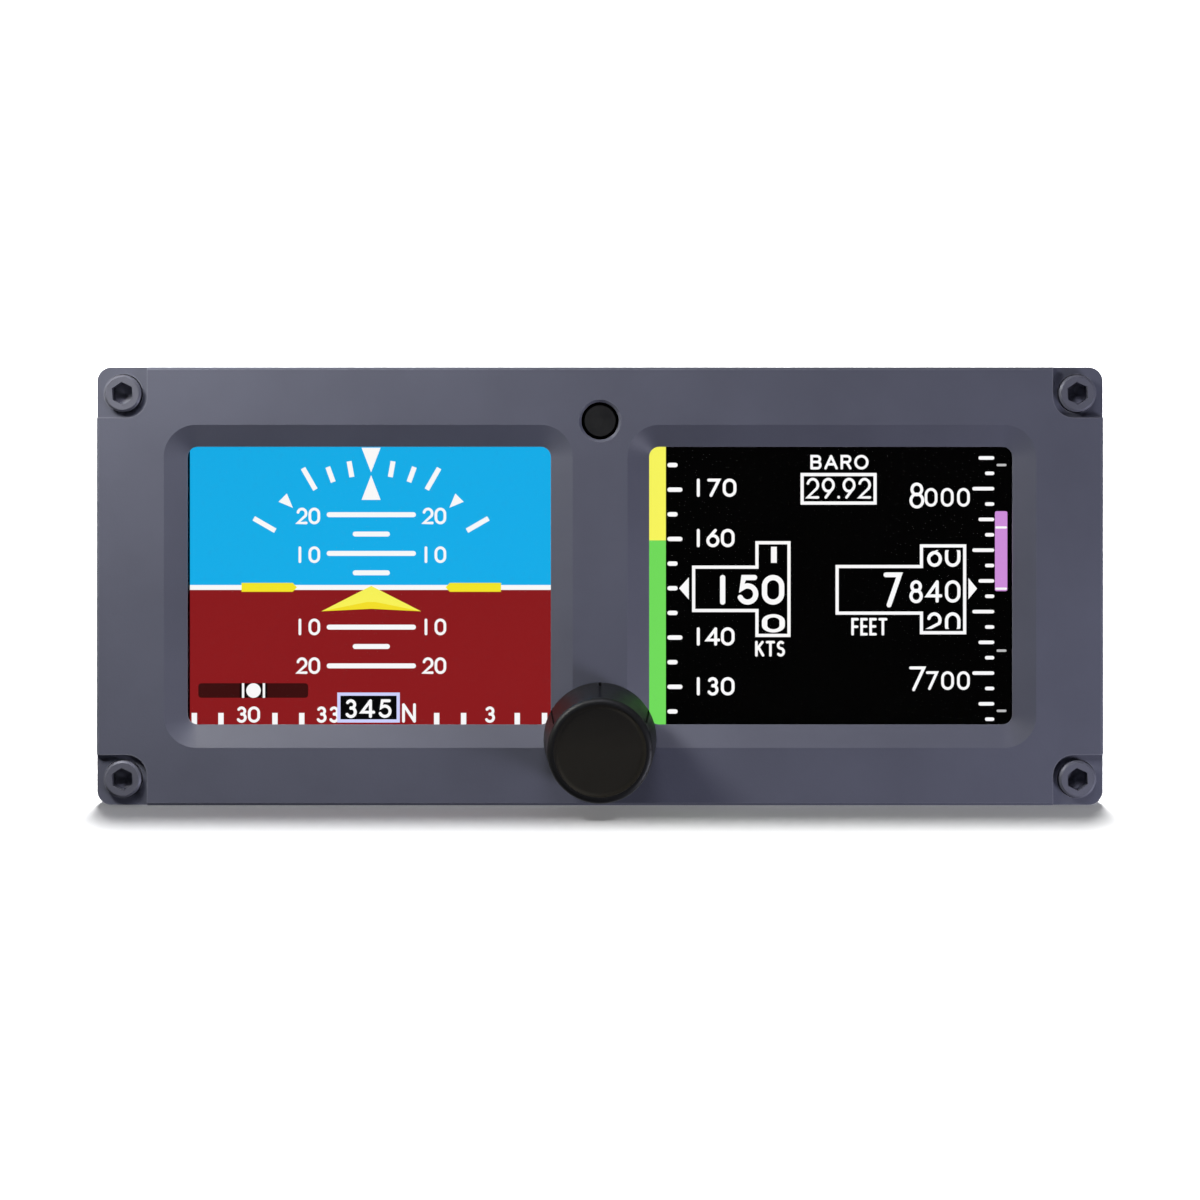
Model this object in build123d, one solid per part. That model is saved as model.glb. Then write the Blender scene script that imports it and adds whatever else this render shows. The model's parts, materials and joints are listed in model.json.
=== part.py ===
from build123d import *
import os
from math import cos, radians, sin

# Standby flight instrument with two small displays side by side, one knob and a light sensor.
# Frame: X runs to the pilot's right, Y points back behind the panel and Z is up.
# The origin is the centre of the bezel's rear mounting face. All sizes are in millimetres.

# Bezel
BEZEL_HEIGHT = 60.8
BEZEL_THICKNESS = 9.0
BEZEL_CORNER_RADIUS = 2.0
BEZEL_EDGE_BREAK = 0.35
LAND_HEIGHT = 1.0
LAND_STEP = 0.5

# Mounting screws, captive in the bezel, with their corner pockets
SCREW_EDGE_DISTANCE = 3.65
SCREW_TO_CASE = 4.2
POCKET_GAP = 0.8
POCKET_RADIUS = 2.9
POCKET_DEPTH = 0.7
SCREW_SINK_DEPTH = 2.5
SCREW_SINK_CLEARANCE = 0.12
SCREW_HEAD_DIAMETER = 5.14
SCREW_HEAD_HEIGHT = 3.51
SCREW_SOCKET_ACROSS_FLATS = 2.78
SCREW_SOCKET_DEPTH = 1.7
SCREW_DRILL_POINT_DEPTH = 0.7
SCREW_DRILL_POINT_FLAT = 0.2
SCREW_HEAD_EDGE_BREAK = 0.3
SCREW_SOCKET_TILT = 4.0
SCREW_THREAD_DIAMETER = 3.506
SCREW_NECK_DIAMETER = 2.5
SCREW_THREAD_LENGTH = 10.5
SCREW_NECK_CLEARANCE = 0.15
SCREW_RELIEF_CLEARANCE = 0.6
SCREW_RELIEF_DEPTH = 1.0

# Windows
WINDOW_WIDTH = 50.6
WINDOW_HEIGHT = 38.7
WINDOW_RADIUS = 1.4
CENTRE_BAR_WIDTH = 13.7
BEVEL_WIDTH = 3.05
BEVEL_DEPTH = 1.6
LIP_THICKNESS = 0.4

# Display stack, from the glass back to the board
GLASS_OVERLAP = 1.3
GLASS_THICKNESS = 1.1
GLASS_CLEARANCE = 0.2
GASKET_THICKNESS = 0.6
GASKET_SETBACK = 0.3
MODULE_SIDE_BORDER = 2.2
MODULE_HEIGHT = 43.5
MODULE_DROP = 0.8
MODULE_CLEARANCE = 0.25
MODULE_RADIUS = 0.8
CELL_THICKNESS = 1.6
BACKLIGHT_THICKNESS = 2.2
TRAY_WALL = 0.3
TRAY_TO_BOARD = 0.2
BOARD_THICKNESS = 1.6
BOARD_CLEARANCE = 0.25
FLEX_WIDTH = 24.0
FLEX_THICKNESS = 0.25
FLEX_SOCKET_RISE = 6.0
FLEX_SOCKET_HEIGHT = 5.0
FLEX_SOCKET_THICKNESS = 2.0
DRIVER_CHIP_SIZE = 14.0
CHIP_THICKNESS = 1.4
LEAD_WIDTH = 11.0
LEAD_SOCKET = 4.0

# Light sensor above the bar between the windows
SENSOR_TO_CASE = 2.95
SENSOR_HOLE_DIAMETER = 5.2
SENSOR_HOLE_BREAK = 0.35
SENSOR_LENS_DIAMETER = 4.3
SENSOR_LENS_RECESS = 0.25
SENSOR_FLANGE_WIDTH = 0.8
SENSOR_FLANGE_THICKNESS = 0.8
SENSOR_CLEARANCE = 0.1
SENSOR_CHIP_SIZE = 3.2
SENSOR_CHIP_THICKNESS = 0.9

# Knob and the rotary push switch behind it
KNOB_DIAMETER = 15.6
KNOB_FRONT_DIAMETER = 14.0
KNOB_LENGTH = 15.8
KNOB_GAP = 1.2
KNOB_EDGE_RADIUS = 0.7
KNOB_BASE_BREAK = 0.3
KNOB_GROOVE_COUNT = 6
KNOB_GROOVE_WIDTH = 0.35
KNOB_GROOVE_DEPTH = 0.4
KNOB_GROOVE_START = 0.4
KNOB_GROOVE_TO_FRONT = 1.3
KNOB_CAP_DIAMETER = 12.3
KNOB_CAP_THICKNESS = 0.8
KNOB_CAP_RECESS = 0.25
KNOB_BOSS_MARGIN = 0.25
KNOB_PUSH_TRAVEL = 0.5
PUSH_CLEARANCE = 0.4
SHAFT_DIAMETER = 4.0
SHAFT_FLAT = 0.5
SHAFT_IN_KNOB = 9.0
RUNNING_CLEARANCE = 0.05
SET_SCREW_DIAMETER = 3.0
SET_SCREW_LENGTH = 3.6
SET_SCREW_FROM_BASE = 6.5
SET_SCREW_SOCKET = 1.5
BUSHING_DIAMETER = 6.0
BUSHING_CLEARANCE = 0.1
BUSHING_REACH = 3.0
NUT_ACROSS_FLATS = 8.8
NUT_THICKNESS = 2.0
WASHER_DIAMETER = 11.0
WASHER_THICKNESS = 0.5
NUT_CLEARANCE = 0.45
ENCODER_WIDTH = 11.0
ENCODER_HEIGHT = 9.2
ENCODER_DEPTH = 5.4
ENCODER_WALL = 0.7
ENCODER_FRONT_WALL = 1.2
ENCODER_BACK_THICKNESS = 0.6
ENCODER_CLEARANCE = 0.25
ENCODER_FLOOR_GAP = 0.3
ENCODER_PIN_SIZE = 0.6
ENCODER_PIN_LENGTH = 2.2
ENCODER_PIN_PITCH = 2.0
WHEEL_DIAMETER = 7.4
WHEEL_THICKNESS = 1.6
WHEEL_NOTCH_COUNT = 24
WHEEL_NOTCH_RADIUS = 0.3
WHEEL_HUB_DIAMETER = 5.6
WHEEL_SIDE_CLEARANCE = 0.2
SPRING_THICKNESS = 0.2
SPRING_WIDTH = 1.2
SPRING_SETBACK = 0.15
DOME_DIAMETER = 4.6
DOME_HEIGHT = 0.5
DOME_CLEARANCE = 0.1

# Case behind the panel
CASE_SIDE_GAP = 0.75
CASE_HEIGHT = 55.0
CASE_DEPTH = 88.0
CASE_WALL = 1.6
CASE_EDGE_RADIUS = 1.4
COVER_FLANGE_WIDTH = 6.0
COVER_FLANGE_THICKNESS = 2.4
POST_SIZE = 8.0
POST_LENGTH = 14.0
REAR_PANEL_THICKNESS = 3.0
CASE_FIT = 0.1

# Lugs behind the bezel that the case is screwed to
LUG_LENGTH = 8.0
LUG_WIDTH = 24.0
LUG_SPACING = 60.0
LUG_SCREW_SPACING = 14.0
LUG_SCREW_SETBACK = 4.5
BOARD_EAR_WIDTH = 24.0

# Small countersunk screws of the case
CASE_SCREW_DIAMETER = 2.2
CASE_SCREW_HEAD = 3.8
CASE_SCREW_LENGTH = 4.0
CASE_SCREW_SOCKET = 1.3
CASE_SCREW_SOCKET_DEPTH = 0.7
CASE_SCREW_RECESS = 0.1

# Pan-head screws of the boards
BOARD_SCREW_DIAMETER = 2.0
BOARD_SCREW_HEAD = 3.8
BOARD_SCREW_HEAD_HEIGHT = 1.3
BOARD_SCREW_LENGTH = 4.5
SENSOR_SCREW_SPACING = 15.0
BAR_SCREW_HEIGHT = 2.0

# Boards and the parts they carry
MAIN_BOARD_WIDTH = 112.0
MAIN_BOARD_FRONT = 11.0
MAIN_BOARD_EDGE = 0.4
STANDOFF_ACROSS_FLATS = 4.5
STANDOFF_HEIGHT = 5.0
STACK_HEIGHT = 22.0
STACK_STUD_DIAMETER = 2.5
STACK_STUD_LENGTH = 5.6
STACK_SCREW_REACH = 5.0
STACK_SCREW_HEAD = 4.4
STACK_SCREW_HEAD_HEIGHT = 1.7
BATTERY_Y = 44.0
BATTERY_X = -19.5
BATTERY_WIDTH = 72.0
BATTERY_LENGTH = 63.0
BATTERY_FLOOR = 2.0
BATTERY_LIP = 2.4
CELL_DIAMETER = 18.4
CELL_LENGTH = 65.0
CELL_COUNT = 3
CELL_GAP = 0.5
CELL_FIT = 0.15
CELL_TIP = 0.4
STACK_EDGE_DISTANCE = 3.6
POWER_BOARD_WIDTH = 34.0
POWER_BOARD_LENGTH = 46.0
POWER_BOARD_X = 37.5
POWER_BOARD_Y = 36.5
TRANSFORMER_SIZE = 16.0
TRANSFORMER_HEIGHT = 10.0
PROCESSOR_SIZE = 17.0
MEMORY_WIDTH = 9.0
MEMORY_LENGTH = 13.0
CAPACITOR_DIAMETER = 6.3
CAPACITOR_HEIGHT = 7.7
CAPACITOR_PITCH = 9.0
CAPACITOR_COUNT = 4
INERTIAL_SIZE = 24.0
INERTIAL_HEIGHT = 14.0
INERTIAL_WALL = 2.0
INERTIAL_RADIUS = 1.8
INERTIAL_FLOOR = 3.0
INERTIAL_Y = 34.0

# Rear fittings
PORT_SPACING = 21.0
PORT_X = 40.5
PORT_Z = -3.0
PORT_THREAD_DIAMETER = 11.11
PORT_THREAD_LENGTH = 8.0
PORT_NOSE_LENGTH = 2.6
PORT_NOSE_DIAMETER = 6.4
PORT_BORE_DIAMETER = 4.4
PORT_HEX_ACROSS_FLATS = 14.3
PORT_HEX_THICKNESS = 4.0
PORT_TAIL_DIAMETER = 7.9
PORT_NUT_ACROSS_FLATS = 12.7
PORT_NUT_THICKNESS = 2.5
PORT_BARB_DIAMETER = 4.8
PORT_BARB_LENGTH = 4.0
PORT_HOLE_CLEARANCE = 0.1
PORT_NOSE_STEP = 1.0
PORT_BARB_WALL = 0.9
HOSE_WALL = 0.8
HOSE_FIT = 0.05
HOSE_BEND = 5.0
TRANSDUCER_SIZE = 13.0
TRANSDUCER_HEIGHT = 7.0
TRANSDUCER_SETBACK = 22.0
TRANSDUCER_PORT_LENGTH = 4.0
CONNECTOR_X = -26.0
CONNECTOR_Z = -7.0
CONNECTOR_FLANGE_WIDTH = 53.0
CONNECTOR_FLANGE_HEIGHT = 12.5
CONNECTOR_FLANGE_THICKNESS = 1.0
CONNECTOR_SHELL_WIDTH = 39.0
CONNECTOR_SHELL_HEIGHT = 8.4
CONNECTOR_SHELL_LENGTH = 5.9
CONNECTOR_SHELL_WALL = 0.5
CONNECTOR_SLANT = 80.0
CONNECTOR_SHELL_RADIUS = 1.2
CONNECTOR_INSULATOR_LENGTH = 8.0
CONNECTOR_FACE_HEIGHT = 1.0
CONNECTOR_JACK_SPACING = 47.04
CONNECTOR_JACK_ACROSS_FLATS = 4.8
CONNECTOR_JACK_LENGTH = 5.0
CONNECTOR_JACK_THREAD = 2.84
CONNECTOR_JACK_FLOOR = 1.0
CONNECTOR_PIN_PITCH = 2.77
CONNECTOR_ROW_SPACING = 2.84
CONNECTOR_PIN_DIAMETER = 1.0
CONNECTOR_PIN_REACH = 5.0
CONNECTOR_CONTACT_COUNT = 25
CONNECTOR_FIT = 0.15
TAIL_SIZE = 0.6
TAIL_REACH = 2.0
STUD_X = 6.0
STUD_Z = -14.0
STUD_DIAMETER = 4.17
STUD_LENGTH = 12.0
STUD_HEX_ACROSS_FLATS = 8.7
STUD_HEX_THICKNESS = 3.2
STUD_TAIL_DIAMETER = 4.8
STUD_TAIL_REACH = 0.8
STUD_NUT_ACROSS_FLATS = 8.0
STUD_NUT_THICKNESS = 3.0
HOLE_CLEARANCE = 0.1

# Planes along the depth that follow from the sizes above
FRONT = -BEZEL_THICKNESS
BEVEL_BACK = FRONT + BEVEL_DEPTH
GLASS_FRONT = BEVEL_BACK + LIP_THICKNESS
GLASS_BACK = GLASS_FRONT + GLASS_THICKNESS
CELL_FRONT = GLASS_BACK + GASKET_THICKNESS
CELL_BACK = CELL_FRONT + CELL_THICKNESS
BACKLIGHT_BACK = CELL_BACK + BACKLIGHT_THICKNESS
TRAY_BACK = BACKLIGHT_BACK + TRAY_WALL
BOARD_FRONT = TRAY_BACK + TRAY_TO_BOARD
BOARD_BACK = BOARD_FRONT + BOARD_THICKNESS
CASE_FRONT = LAND_HEIGHT
CASE_BACK = CASE_FRONT + CASE_DEPTH
REAR_FACE = CASE_BACK + REAR_PANEL_THICKNESS
CONNECTOR_FLANGE_BACK = REAR_FACE + CONNECTOR_FLANGE_THICKNESS
BASE_FRONT = FRONT - KNOB_GAP
KNOB_FRONT = BASE_FRONT - KNOB_LENGTH
SCREW_SEAT = FRONT + POCKET_DEPTH + SCREW_SINK_DEPTH
BUSHING_FRONT = FRONT - BUSHING_REACH
CAVITY_FRONT = BUSHING_FRONT - KNOB_PUSH_TRAVEL - PUSH_CLEARANCE
SHAFT_FRONT = CAVITY_FRONT - SHAFT_IN_KNOB
ENCODER_CAVITY_FRONT = BOARD_FRONT + ENCODER_FRONT_WALL
ENCODER_BACK = BOARD_FRONT + ENCODER_DEPTH
DOME_FRONT = ENCODER_BACK - DOME_HEIGHT
SHAFT_BACK = DOME_FRONT - DOME_CLEARANCE - KNOB_PUSH_TRAVEL
NUT_FRONT = FRONT - WASHER_THICKNESS - NUT_THICKNESS

# Widths and heights that follow from the sizes above
MODULE_WIDTH = WINDOW_WIDTH + 2 * MODULE_SIDE_BORDER
WINDOW_PITCH = WINDOW_WIDTH + CENTRE_BAR_WIDTH
BOARD_HALF_WIDTH = WINDOW_PITCH / 2 + MODULE_WIDTH / 2
CASE_WIDTH = 2 * (BOARD_HALF_WIDTH + CASE_SIDE_GAP + CASE_WALL)
INNER_HALF_WIDTH = CASE_WIDTH / 2 - CASE_WALL
INNER_HALF_HEIGHT = CASE_HEIGHT / 2 - CASE_WALL
BEZEL_WIDTH = CASE_WIDTH + 2 * (SCREW_TO_CASE + SCREW_EDGE_DISTANCE)
POCKET_SIZE = SCREW_EDGE_DISTANCE + SCREW_HEAD_DIAMETER / 2 + POCKET_GAP
KNOB_DROP = INNER_HALF_HEIGHT - ENCODER_FLOOR_GAP - ENCODER_HEIGHT / 2
SENSOR_HEIGHT = INNER_HALF_HEIGHT - SENSOR_TO_CASE
MODULE_TOP = MODULE_HEIGHT / 2 - MODULE_DROP
MODULE_BOTTOM = -MODULE_HEIGHT / 2 - MODULE_DROP
BOARD_TOP = MODULE_TOP + MODULE_CLEARANCE
BOARD_BOTTOM = MODULE_BOTTOM - MODULE_CLEARANCE
MAIN_BOARD_BOTTOM = -INNER_HALF_HEIGHT + STANDOFF_HEIGHT
MAIN_BOARD_TOP = MAIN_BOARD_BOTTOM + BOARD_THICKNESS
MAIN_BOARD_BACK = REAR_FACE - CONNECTOR_INSULATOR_LENGTH - TAIL_REACH + TAIL_SIZE + MAIN_BOARD_EDGE
SHELF_HEIGHT = MAIN_BOARD_TOP + STACK_HEIGHT
LEAD_X = -(ENCODER_WIDTH / 2 + WINDOW_PITCH / 2 - FLEX_WIDTH / 2) / 2
SCREW_X = BEZEL_WIDTH / 2 - SCREW_EDGE_DISTANCE
SCREW_Z = BEZEL_HEIGHT / 2 - SCREW_EDGE_DISTANCE
CORNERS = [(-1, -1), (-1, 1), (1, -1), (1, 1)]
SIDES = {"left": -1, "right": 1}


def front_plane(y):
    """Plane at depth y that faces the pilot, with X to the right and Z up."""
    return Plane(origin=(0, y, 0), x_dir=(1, 0, 0), z_dir=(0, -1, 0))


def slab(outline, front, back):
    """Solid of an outline seen from the front, between two depths."""
    return extrude(front_plane(back) * outline, amount=back - front)


def rod(x, z, diameter, front, back):
    """Round bar along the depth."""
    return slab(Pos(x, z) * Circle(diameter / 2), front, back)


def hex_bar(x, z, across_flats, front, back, tilt=0.0):
    """Hexagonal bar along the depth, with a corner up."""
    outline = Pos(x, z) * Rot(0, 0, tilt + 30) * RegularPolygon(across_flats / 2, 6, major_radius=False)
    return slab(outline, front, back)


def block(x0, x1, y0, y1, z0, z1):
    """Box between two opposite corners."""
    middle = Pos((x0 + x1) / 2, (y0 + y1) / 2, (z0 + z1) / 2)
    return middle * Box(x1 - x0, y1 - y0, z1 - z0)


def upright(outline, bottom, top):
    """Solid of an outline seen from above, between two heights."""
    return extrude(Plane.XY.offset(bottom) * outline, amount=top - bottom)


def joined(shapes):
    """Group of separate solids in one compound."""
    solids = []
    for shape in shapes:
        solids.extend(shape.solids())
    return Compound(children=solids)


def bezel_blank():
    """Face plate with its broken front edge and the raised land behind it."""
    outline = RectangleRounded(BEZEL_WIDTH, BEZEL_HEIGHT, BEZEL_CORNER_RADIUS)
    plate = slab(outline, FRONT, 0)
    front_edges = plate.faces().sort_by(Axis.Y)[0].edges()
    plate = chamfer(front_edges, BEZEL_EDGE_BREAK)
    land = RectangleRounded(CASE_WIDTH + 2 * LAND_STEP, CASE_HEIGHT + 2 * LAND_STEP, CASE_EDGE_RADIUS + LAND_STEP)
    return plate + slab(land, 0, LAND_HEIGHT)


def window_cut(side):
    """Bevelled opening of one window, with the rebate of its glass and the pocket of its display."""
    middle = Pos(side * WINDOW_PITCH / 2, 0)
    opening = RectangleRounded(WINDOW_WIDTH, WINDOW_HEIGHT, WINDOW_RADIUS)
    mouth = RectangleRounded(
        WINDOW_WIDTH + 2 * BEVEL_WIDTH, WINDOW_HEIGHT + 2 * BEVEL_WIDTH, WINDOW_RADIUS + BEVEL_WIDTH)
    bevel = loft([front_plane(FRONT) * middle * mouth, front_plane(BEVEL_BACK) * middle * opening])
    through = slab(middle * opening, FRONT, GLASS_FRONT)
    rebate_width = WINDOW_WIDTH + 2 * (GLASS_OVERLAP + GLASS_CLEARANCE)
    rebate_height = WINDOW_HEIGHT + 2 * (GLASS_OVERLAP + GLASS_CLEARANCE)
    rebate = slab(middle * RectangleRounded(rebate_width, rebate_height, WINDOW_RADIUS), GLASS_FRONT, CELL_FRONT)
    pocket_outline = RectangleRounded(
        MODULE_WIDTH + 2 * MODULE_CLEARANCE, MODULE_HEIGHT + 2 * MODULE_CLEARANCE,
        MODULE_RADIUS + MODULE_CLEARANCE)
    pocket = slab(middle * Pos(0, -MODULE_DROP) * pocket_outline, CELL_FRONT, LAND_HEIGHT)
    return bevel + through + rebate + pocket


def board_outline(grow):
    """Display board as seen from the front, with its ears between the lugs, grown by a clearance."""
    centre_height = (BOARD_TOP + BOARD_BOTTOM) / 2
    outline = Pos(0, centre_height) * Rectangle(
        2 * (BOARD_HALF_WIDTH + grow), BOARD_TOP - BOARD_BOTTOM + 2 * grow)
    ear_top = INNER_HALF_HEIGHT - BOARD_CLEARANCE - CASE_FIT
    ear_height = ear_top - BOARD_TOP
    ear = Rectangle(BOARD_EAR_WIDTH + 2 * grow, ear_height + grow)
    return outline + Pos(0, BOARD_TOP + (ear_height + grow) / 2) * ear


def encoder_outline(grow):
    """Rotary switch housing as seen from the front, grown by a clearance."""
    return Pos(0, -KNOB_DROP) * Rectangle(ENCODER_WIDTH + 2 * grow, ENCODER_HEIGHT + 2 * grow)


def lug_positions():
    """Middle of each lug across the bezel, with the side of the case that it serves."""
    return [(across * LUG_SPACING / 2, up) for across in (-1, 1) for up in (-1, 1)]


def lug_span(up):
    """Inner and outer height of a lug at the bottom or the top."""
    outer = up * (INNER_HALF_HEIGHT - CASE_FIT)
    inner = BOARD_TOP + BOARD_CLEARANCE if up > 0 else BOARD_BOTTOM - BOARD_CLEARANCE
    return sorted((inner, outer))


def lug_screw_points():
    """Where the case screws enter the lugs, with their direction."""
    depth = CASE_FRONT + LUG_SCREW_SETBACK
    offsets = (-LUG_SCREW_SPACING / 2, LUG_SCREW_SPACING / 2)
    return [(x + offset, depth, up) for x, up in lug_positions() for offset in offsets]


def screw_hole(x, y, up, length, diameter):
    """Vertical hole for a case screw that enters from above or from below."""
    outer = CASE_HEIGHT / 2
    low, high = sorted((up * (outer - length), up * outer))
    return upright(Pos(x, y) * Circle(diameter / 2), low, high)


def case_screw(x, y, up):
    """Countersunk screw with a hexagon socket, its head sunk flush in the case."""
    head_top = CASE_HEIGHT / 2 - CASE_SCREW_RECESS
    cone_height = (CASE_SCREW_HEAD - CASE_SCREW_DIAMETER) / 2
    shank_end = head_top - CASE_SCREW_LENGTH
    radius = CASE_SCREW_DIAMETER / 2
    profile = Polyline(
        (0, shank_end), (radius, shank_end), (radius, head_top - cone_height),
        (CASE_SCREW_HEAD / 2, head_top), (0, head_top), close=True)
    body = revolve(Plane.XZ * make_face(profile), Axis.Z)
    socket = RegularPolygon(CASE_SCREW_SOCKET / 2, 6, major_radius=False)
    body -= upright(socket, head_top - CASE_SCREW_SOCKET_DEPTH, head_top)
    flip = Rot(0, 0 if up > 0 else 180, 0)
    return Pos(x, y, 0) * flip * body


def countersink(x, y, up):
    """Seat of a countersunk head in a wall of the case."""
    radius = CASE_SCREW_DIAMETER / 2 + HOLE_CLEARANCE
    head = CASE_SCREW_HEAD / 2 + HOLE_CLEARANCE
    outer = CASE_HEIGHT / 2
    seat = outer - CASE_SCREW_RECESS
    profile = Polyline(
        (0, outer - CASE_WALL), (radius, outer - CASE_WALL), (radius, seat - (head - radius)),
        (head, seat), (head, outer), (0, outer), close=True)
    body = revolve(Plane.XZ * make_face(profile), Axis.Z)
    flip = Rot(0, 0 if up > 0 else 180, 0)
    return Pos(x, y, 0) * flip * body


def make_bezel():
    """Machined face plate with bevelled windows, corner pockets and everything that seats in its back."""
    body = bezel_blank()
    for side in SIDES.values():
        body -= window_cut(side)
    boss_radius = WINDOW_PITCH / 2 - WINDOW_WIDTH / 2 - KNOB_BOSS_MARGIN
    body += rod(0, -KNOB_DROP, 2 * boss_radius, FRONT, BEVEL_BACK)
    body -= slab(board_outline(BOARD_CLEARANCE), BOARD_FRONT, LAND_HEIGHT)
    body -= slab(encoder_outline(ENCODER_CLEARANCE), BOARD_FRONT, LAND_HEIGHT)
    body -= rod(0, -KNOB_DROP, BUSHING_DIAMETER + 2 * BUSHING_CLEARANCE, FRONT, BOARD_FRONT)
    for x_side, z_side in CORNERS:
        pocket = RectangleRounded(2 * POCKET_SIZE, 2 * POCKET_SIZE, POCKET_RADIUS)
        corner = Pos(x_side * BEZEL_WIDTH / 2, z_side * BEZEL_HEIGHT / 2)
        body -= slab(corner * pocket, FRONT, FRONT + POCKET_DEPTH)
        x, z = x_side * SCREW_X, z_side * SCREW_Z
        body -= rod(x, z, SCREW_HEAD_DIAMETER + 2 * SCREW_SINK_CLEARANCE, FRONT, SCREW_SEAT)
        body -= rod(x, z, SCREW_NECK_DIAMETER + 2 * SCREW_NECK_CLEARANCE, FRONT, 0)
        relief = SCREW_THREAD_DIAMETER + 2 * SCREW_RELIEF_CLEARANCE
        body -= rod(x, z, relief, -SCREW_RELIEF_DEPTH, 0)
    body -= sensor_hole()
    for x, up in lug_positions():
        low, high = lug_span(up)
        body += block(x - LUG_WIDTH / 2, x + LUG_WIDTH / 2, 0, CASE_FRONT + LUG_LENGTH, low, high)
    for x, y, up in lug_screw_points():
        body -= screw_hole(x, y, up, CASE_SCREW_LENGTH + CASE_SCREW_RECESS, CASE_SCREW_DIAMETER)
    for x, z in board_screw_points():
        body -= rod(x, z, BOARD_SCREW_DIAMETER, BOARD_BACK - BOARD_SCREW_LENGTH, BOARD_FRONT)
    return body


def sensor_hole():
    """Stepped hole of the light sensor's lens, with its broken front edge."""
    radius = SENSOR_HOLE_DIAMETER / 2
    hole = rod(0, SENSOR_HEIGHT, SENSOR_HOLE_DIAMETER, FRONT, BOARD_FRONT)
    rim = Pos(0, SENSOR_HEIGHT) * Circle(radius)
    wide_rim = Pos(0, SENSOR_HEIGHT) * Circle(radius + SENSOR_HOLE_BREAK)
    hole += loft([front_plane(FRONT) * wide_rim, front_plane(FRONT + SENSOR_HOLE_BREAK) * rim])
    flange = SENSOR_HOLE_DIAMETER + 2 * (SENSOR_FLANGE_WIDTH + SENSOR_CLEARANCE)
    seat = BOARD_FRONT - SENSOR_CHIP_THICKNESS - SENSOR_CLEARANCE - SENSOR_FLANGE_THICKNESS
    return hole + rod(0, SENSOR_HEIGHT, flange, seat, BOARD_FRONT)


def make_sensor_lens():
    """Flat smoked lens with a flange that seats from behind."""
    seat = BOARD_FRONT - SENSOR_CHIP_THICKNESS - SENSOR_CLEARANCE - SENSOR_FLANGE_THICKNESS
    flange = SENSOR_HOLE_DIAMETER + 2 * SENSOR_FLANGE_WIDTH
    lens = rod(0, SENSOR_HEIGHT, SENSOR_LENS_DIAMETER, FRONT + SENSOR_LENS_RECESS, seat)
    return lens + rod(0, SENSOR_HEIGHT, flange, seat, seat + SENSOR_FLANGE_THICKNESS)


def make_mounting_screws():
    """Four captive socket-head screws, threaded only behind the bezel."""
    return joined([mounting_screw(x_side * SCREW_X, z_side * SCREW_Z) for x_side, z_side in CORNERS])


def mounting_screw(x, z):
    """One captive screw with its head sunk in the floor of a corner pocket."""
    head_front = SCREW_SEAT - SCREW_HEAD_HEIGHT
    socket_floor = head_front + SCREW_SOCKET_DEPTH
    head = rod(x, z, SCREW_HEAD_DIAMETER, head_front, SCREW_SEAT)
    head = chamfer(head.edges().filter_by(GeomType.CIRCLE).sort_by(Axis.Y)[0], SCREW_HEAD_EDGE_BREAK)
    socket = hex_bar(x, z, SCREW_SOCKET_ACROSS_FLATS, head_front, socket_floor, SCREW_SOCKET_TILT)
    socket += loft([
        front_plane(socket_floor) * Pos(x, z) * Circle(SCREW_SOCKET_ACROSS_FLATS / 2),
        front_plane(socket_floor + SCREW_DRILL_POINT_DEPTH) * Pos(x, z) * Circle(SCREW_DRILL_POINT_FLAT / 2)])
    neck = rod(x, z, SCREW_NECK_DIAMETER, SCREW_SEAT, 0)
    thread = rod(x, z, SCREW_THREAD_DIAMETER, 0, SCREW_THREAD_LENGTH)
    point = (SCREW_THREAD_DIAMETER - SCREW_NECK_DIAMETER) / 2
    tip = loft([
        front_plane(SCREW_THREAD_LENGTH) * Pos(x, z) * Circle(SCREW_THREAD_DIAMETER / 2),
        front_plane(SCREW_THREAD_LENGTH + point) * Pos(x, z) * Circle(SCREW_NECK_DIAMETER / 2)])
    return head - socket + neck + thread + tip


def make_window_glass(side):
    """Clear cover glass that seats against the lip of a window."""
    width = WINDOW_WIDTH + 2 * GLASS_OVERLAP
    height = WINDOW_HEIGHT + 2 * GLASS_OVERLAP
    outline = RectangleRounded(width, height, WINDOW_RADIUS - GLASS_CLEARANCE)
    return slab(Pos(side * WINDOW_PITCH / 2, 0) * outline, GLASS_FRONT, GLASS_BACK)


def make_window_gasket(side):
    """Black foam frame between the glass and the display cell."""
    middle = Pos(side * WINDOW_PITCH / 2, 0)
    width = WINDOW_WIDTH + 2 * GLASS_OVERLAP
    height = WINDOW_HEIGHT + 2 * GLASS_OVERLAP
    ring = RectangleRounded(width, height, WINDOW_RADIUS - GLASS_CLEARANCE)
    ring -= RectangleRounded(
        WINDOW_WIDTH + 2 * GASKET_SETBACK, WINDOW_HEIGHT + 2 * GASKET_SETBACK, WINDOW_RADIUS)
    return slab(middle * ring, GLASS_BACK, CELL_FRONT)


def module_slab(side, inset, front, back):
    """Rectangular layer of one display module, inset from the module's outline."""
    outline = RectangleRounded(MODULE_WIDTH - 2 * inset, MODULE_HEIGHT - 2 * inset, MODULE_RADIUS - inset)
    return slab(Pos(side * WINDOW_PITCH / 2, -MODULE_DROP) * outline, front, back)


def make_display_cell(side):
    """Liquid crystal cell."""
    return module_slab(side, TRAY_WALL, CELL_FRONT, CELL_BACK)


def make_backlight(side):
    """Light guide behind the cell."""
    return module_slab(side, TRAY_WALL, CELL_BACK, BACKLIGHT_BACK)


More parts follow.
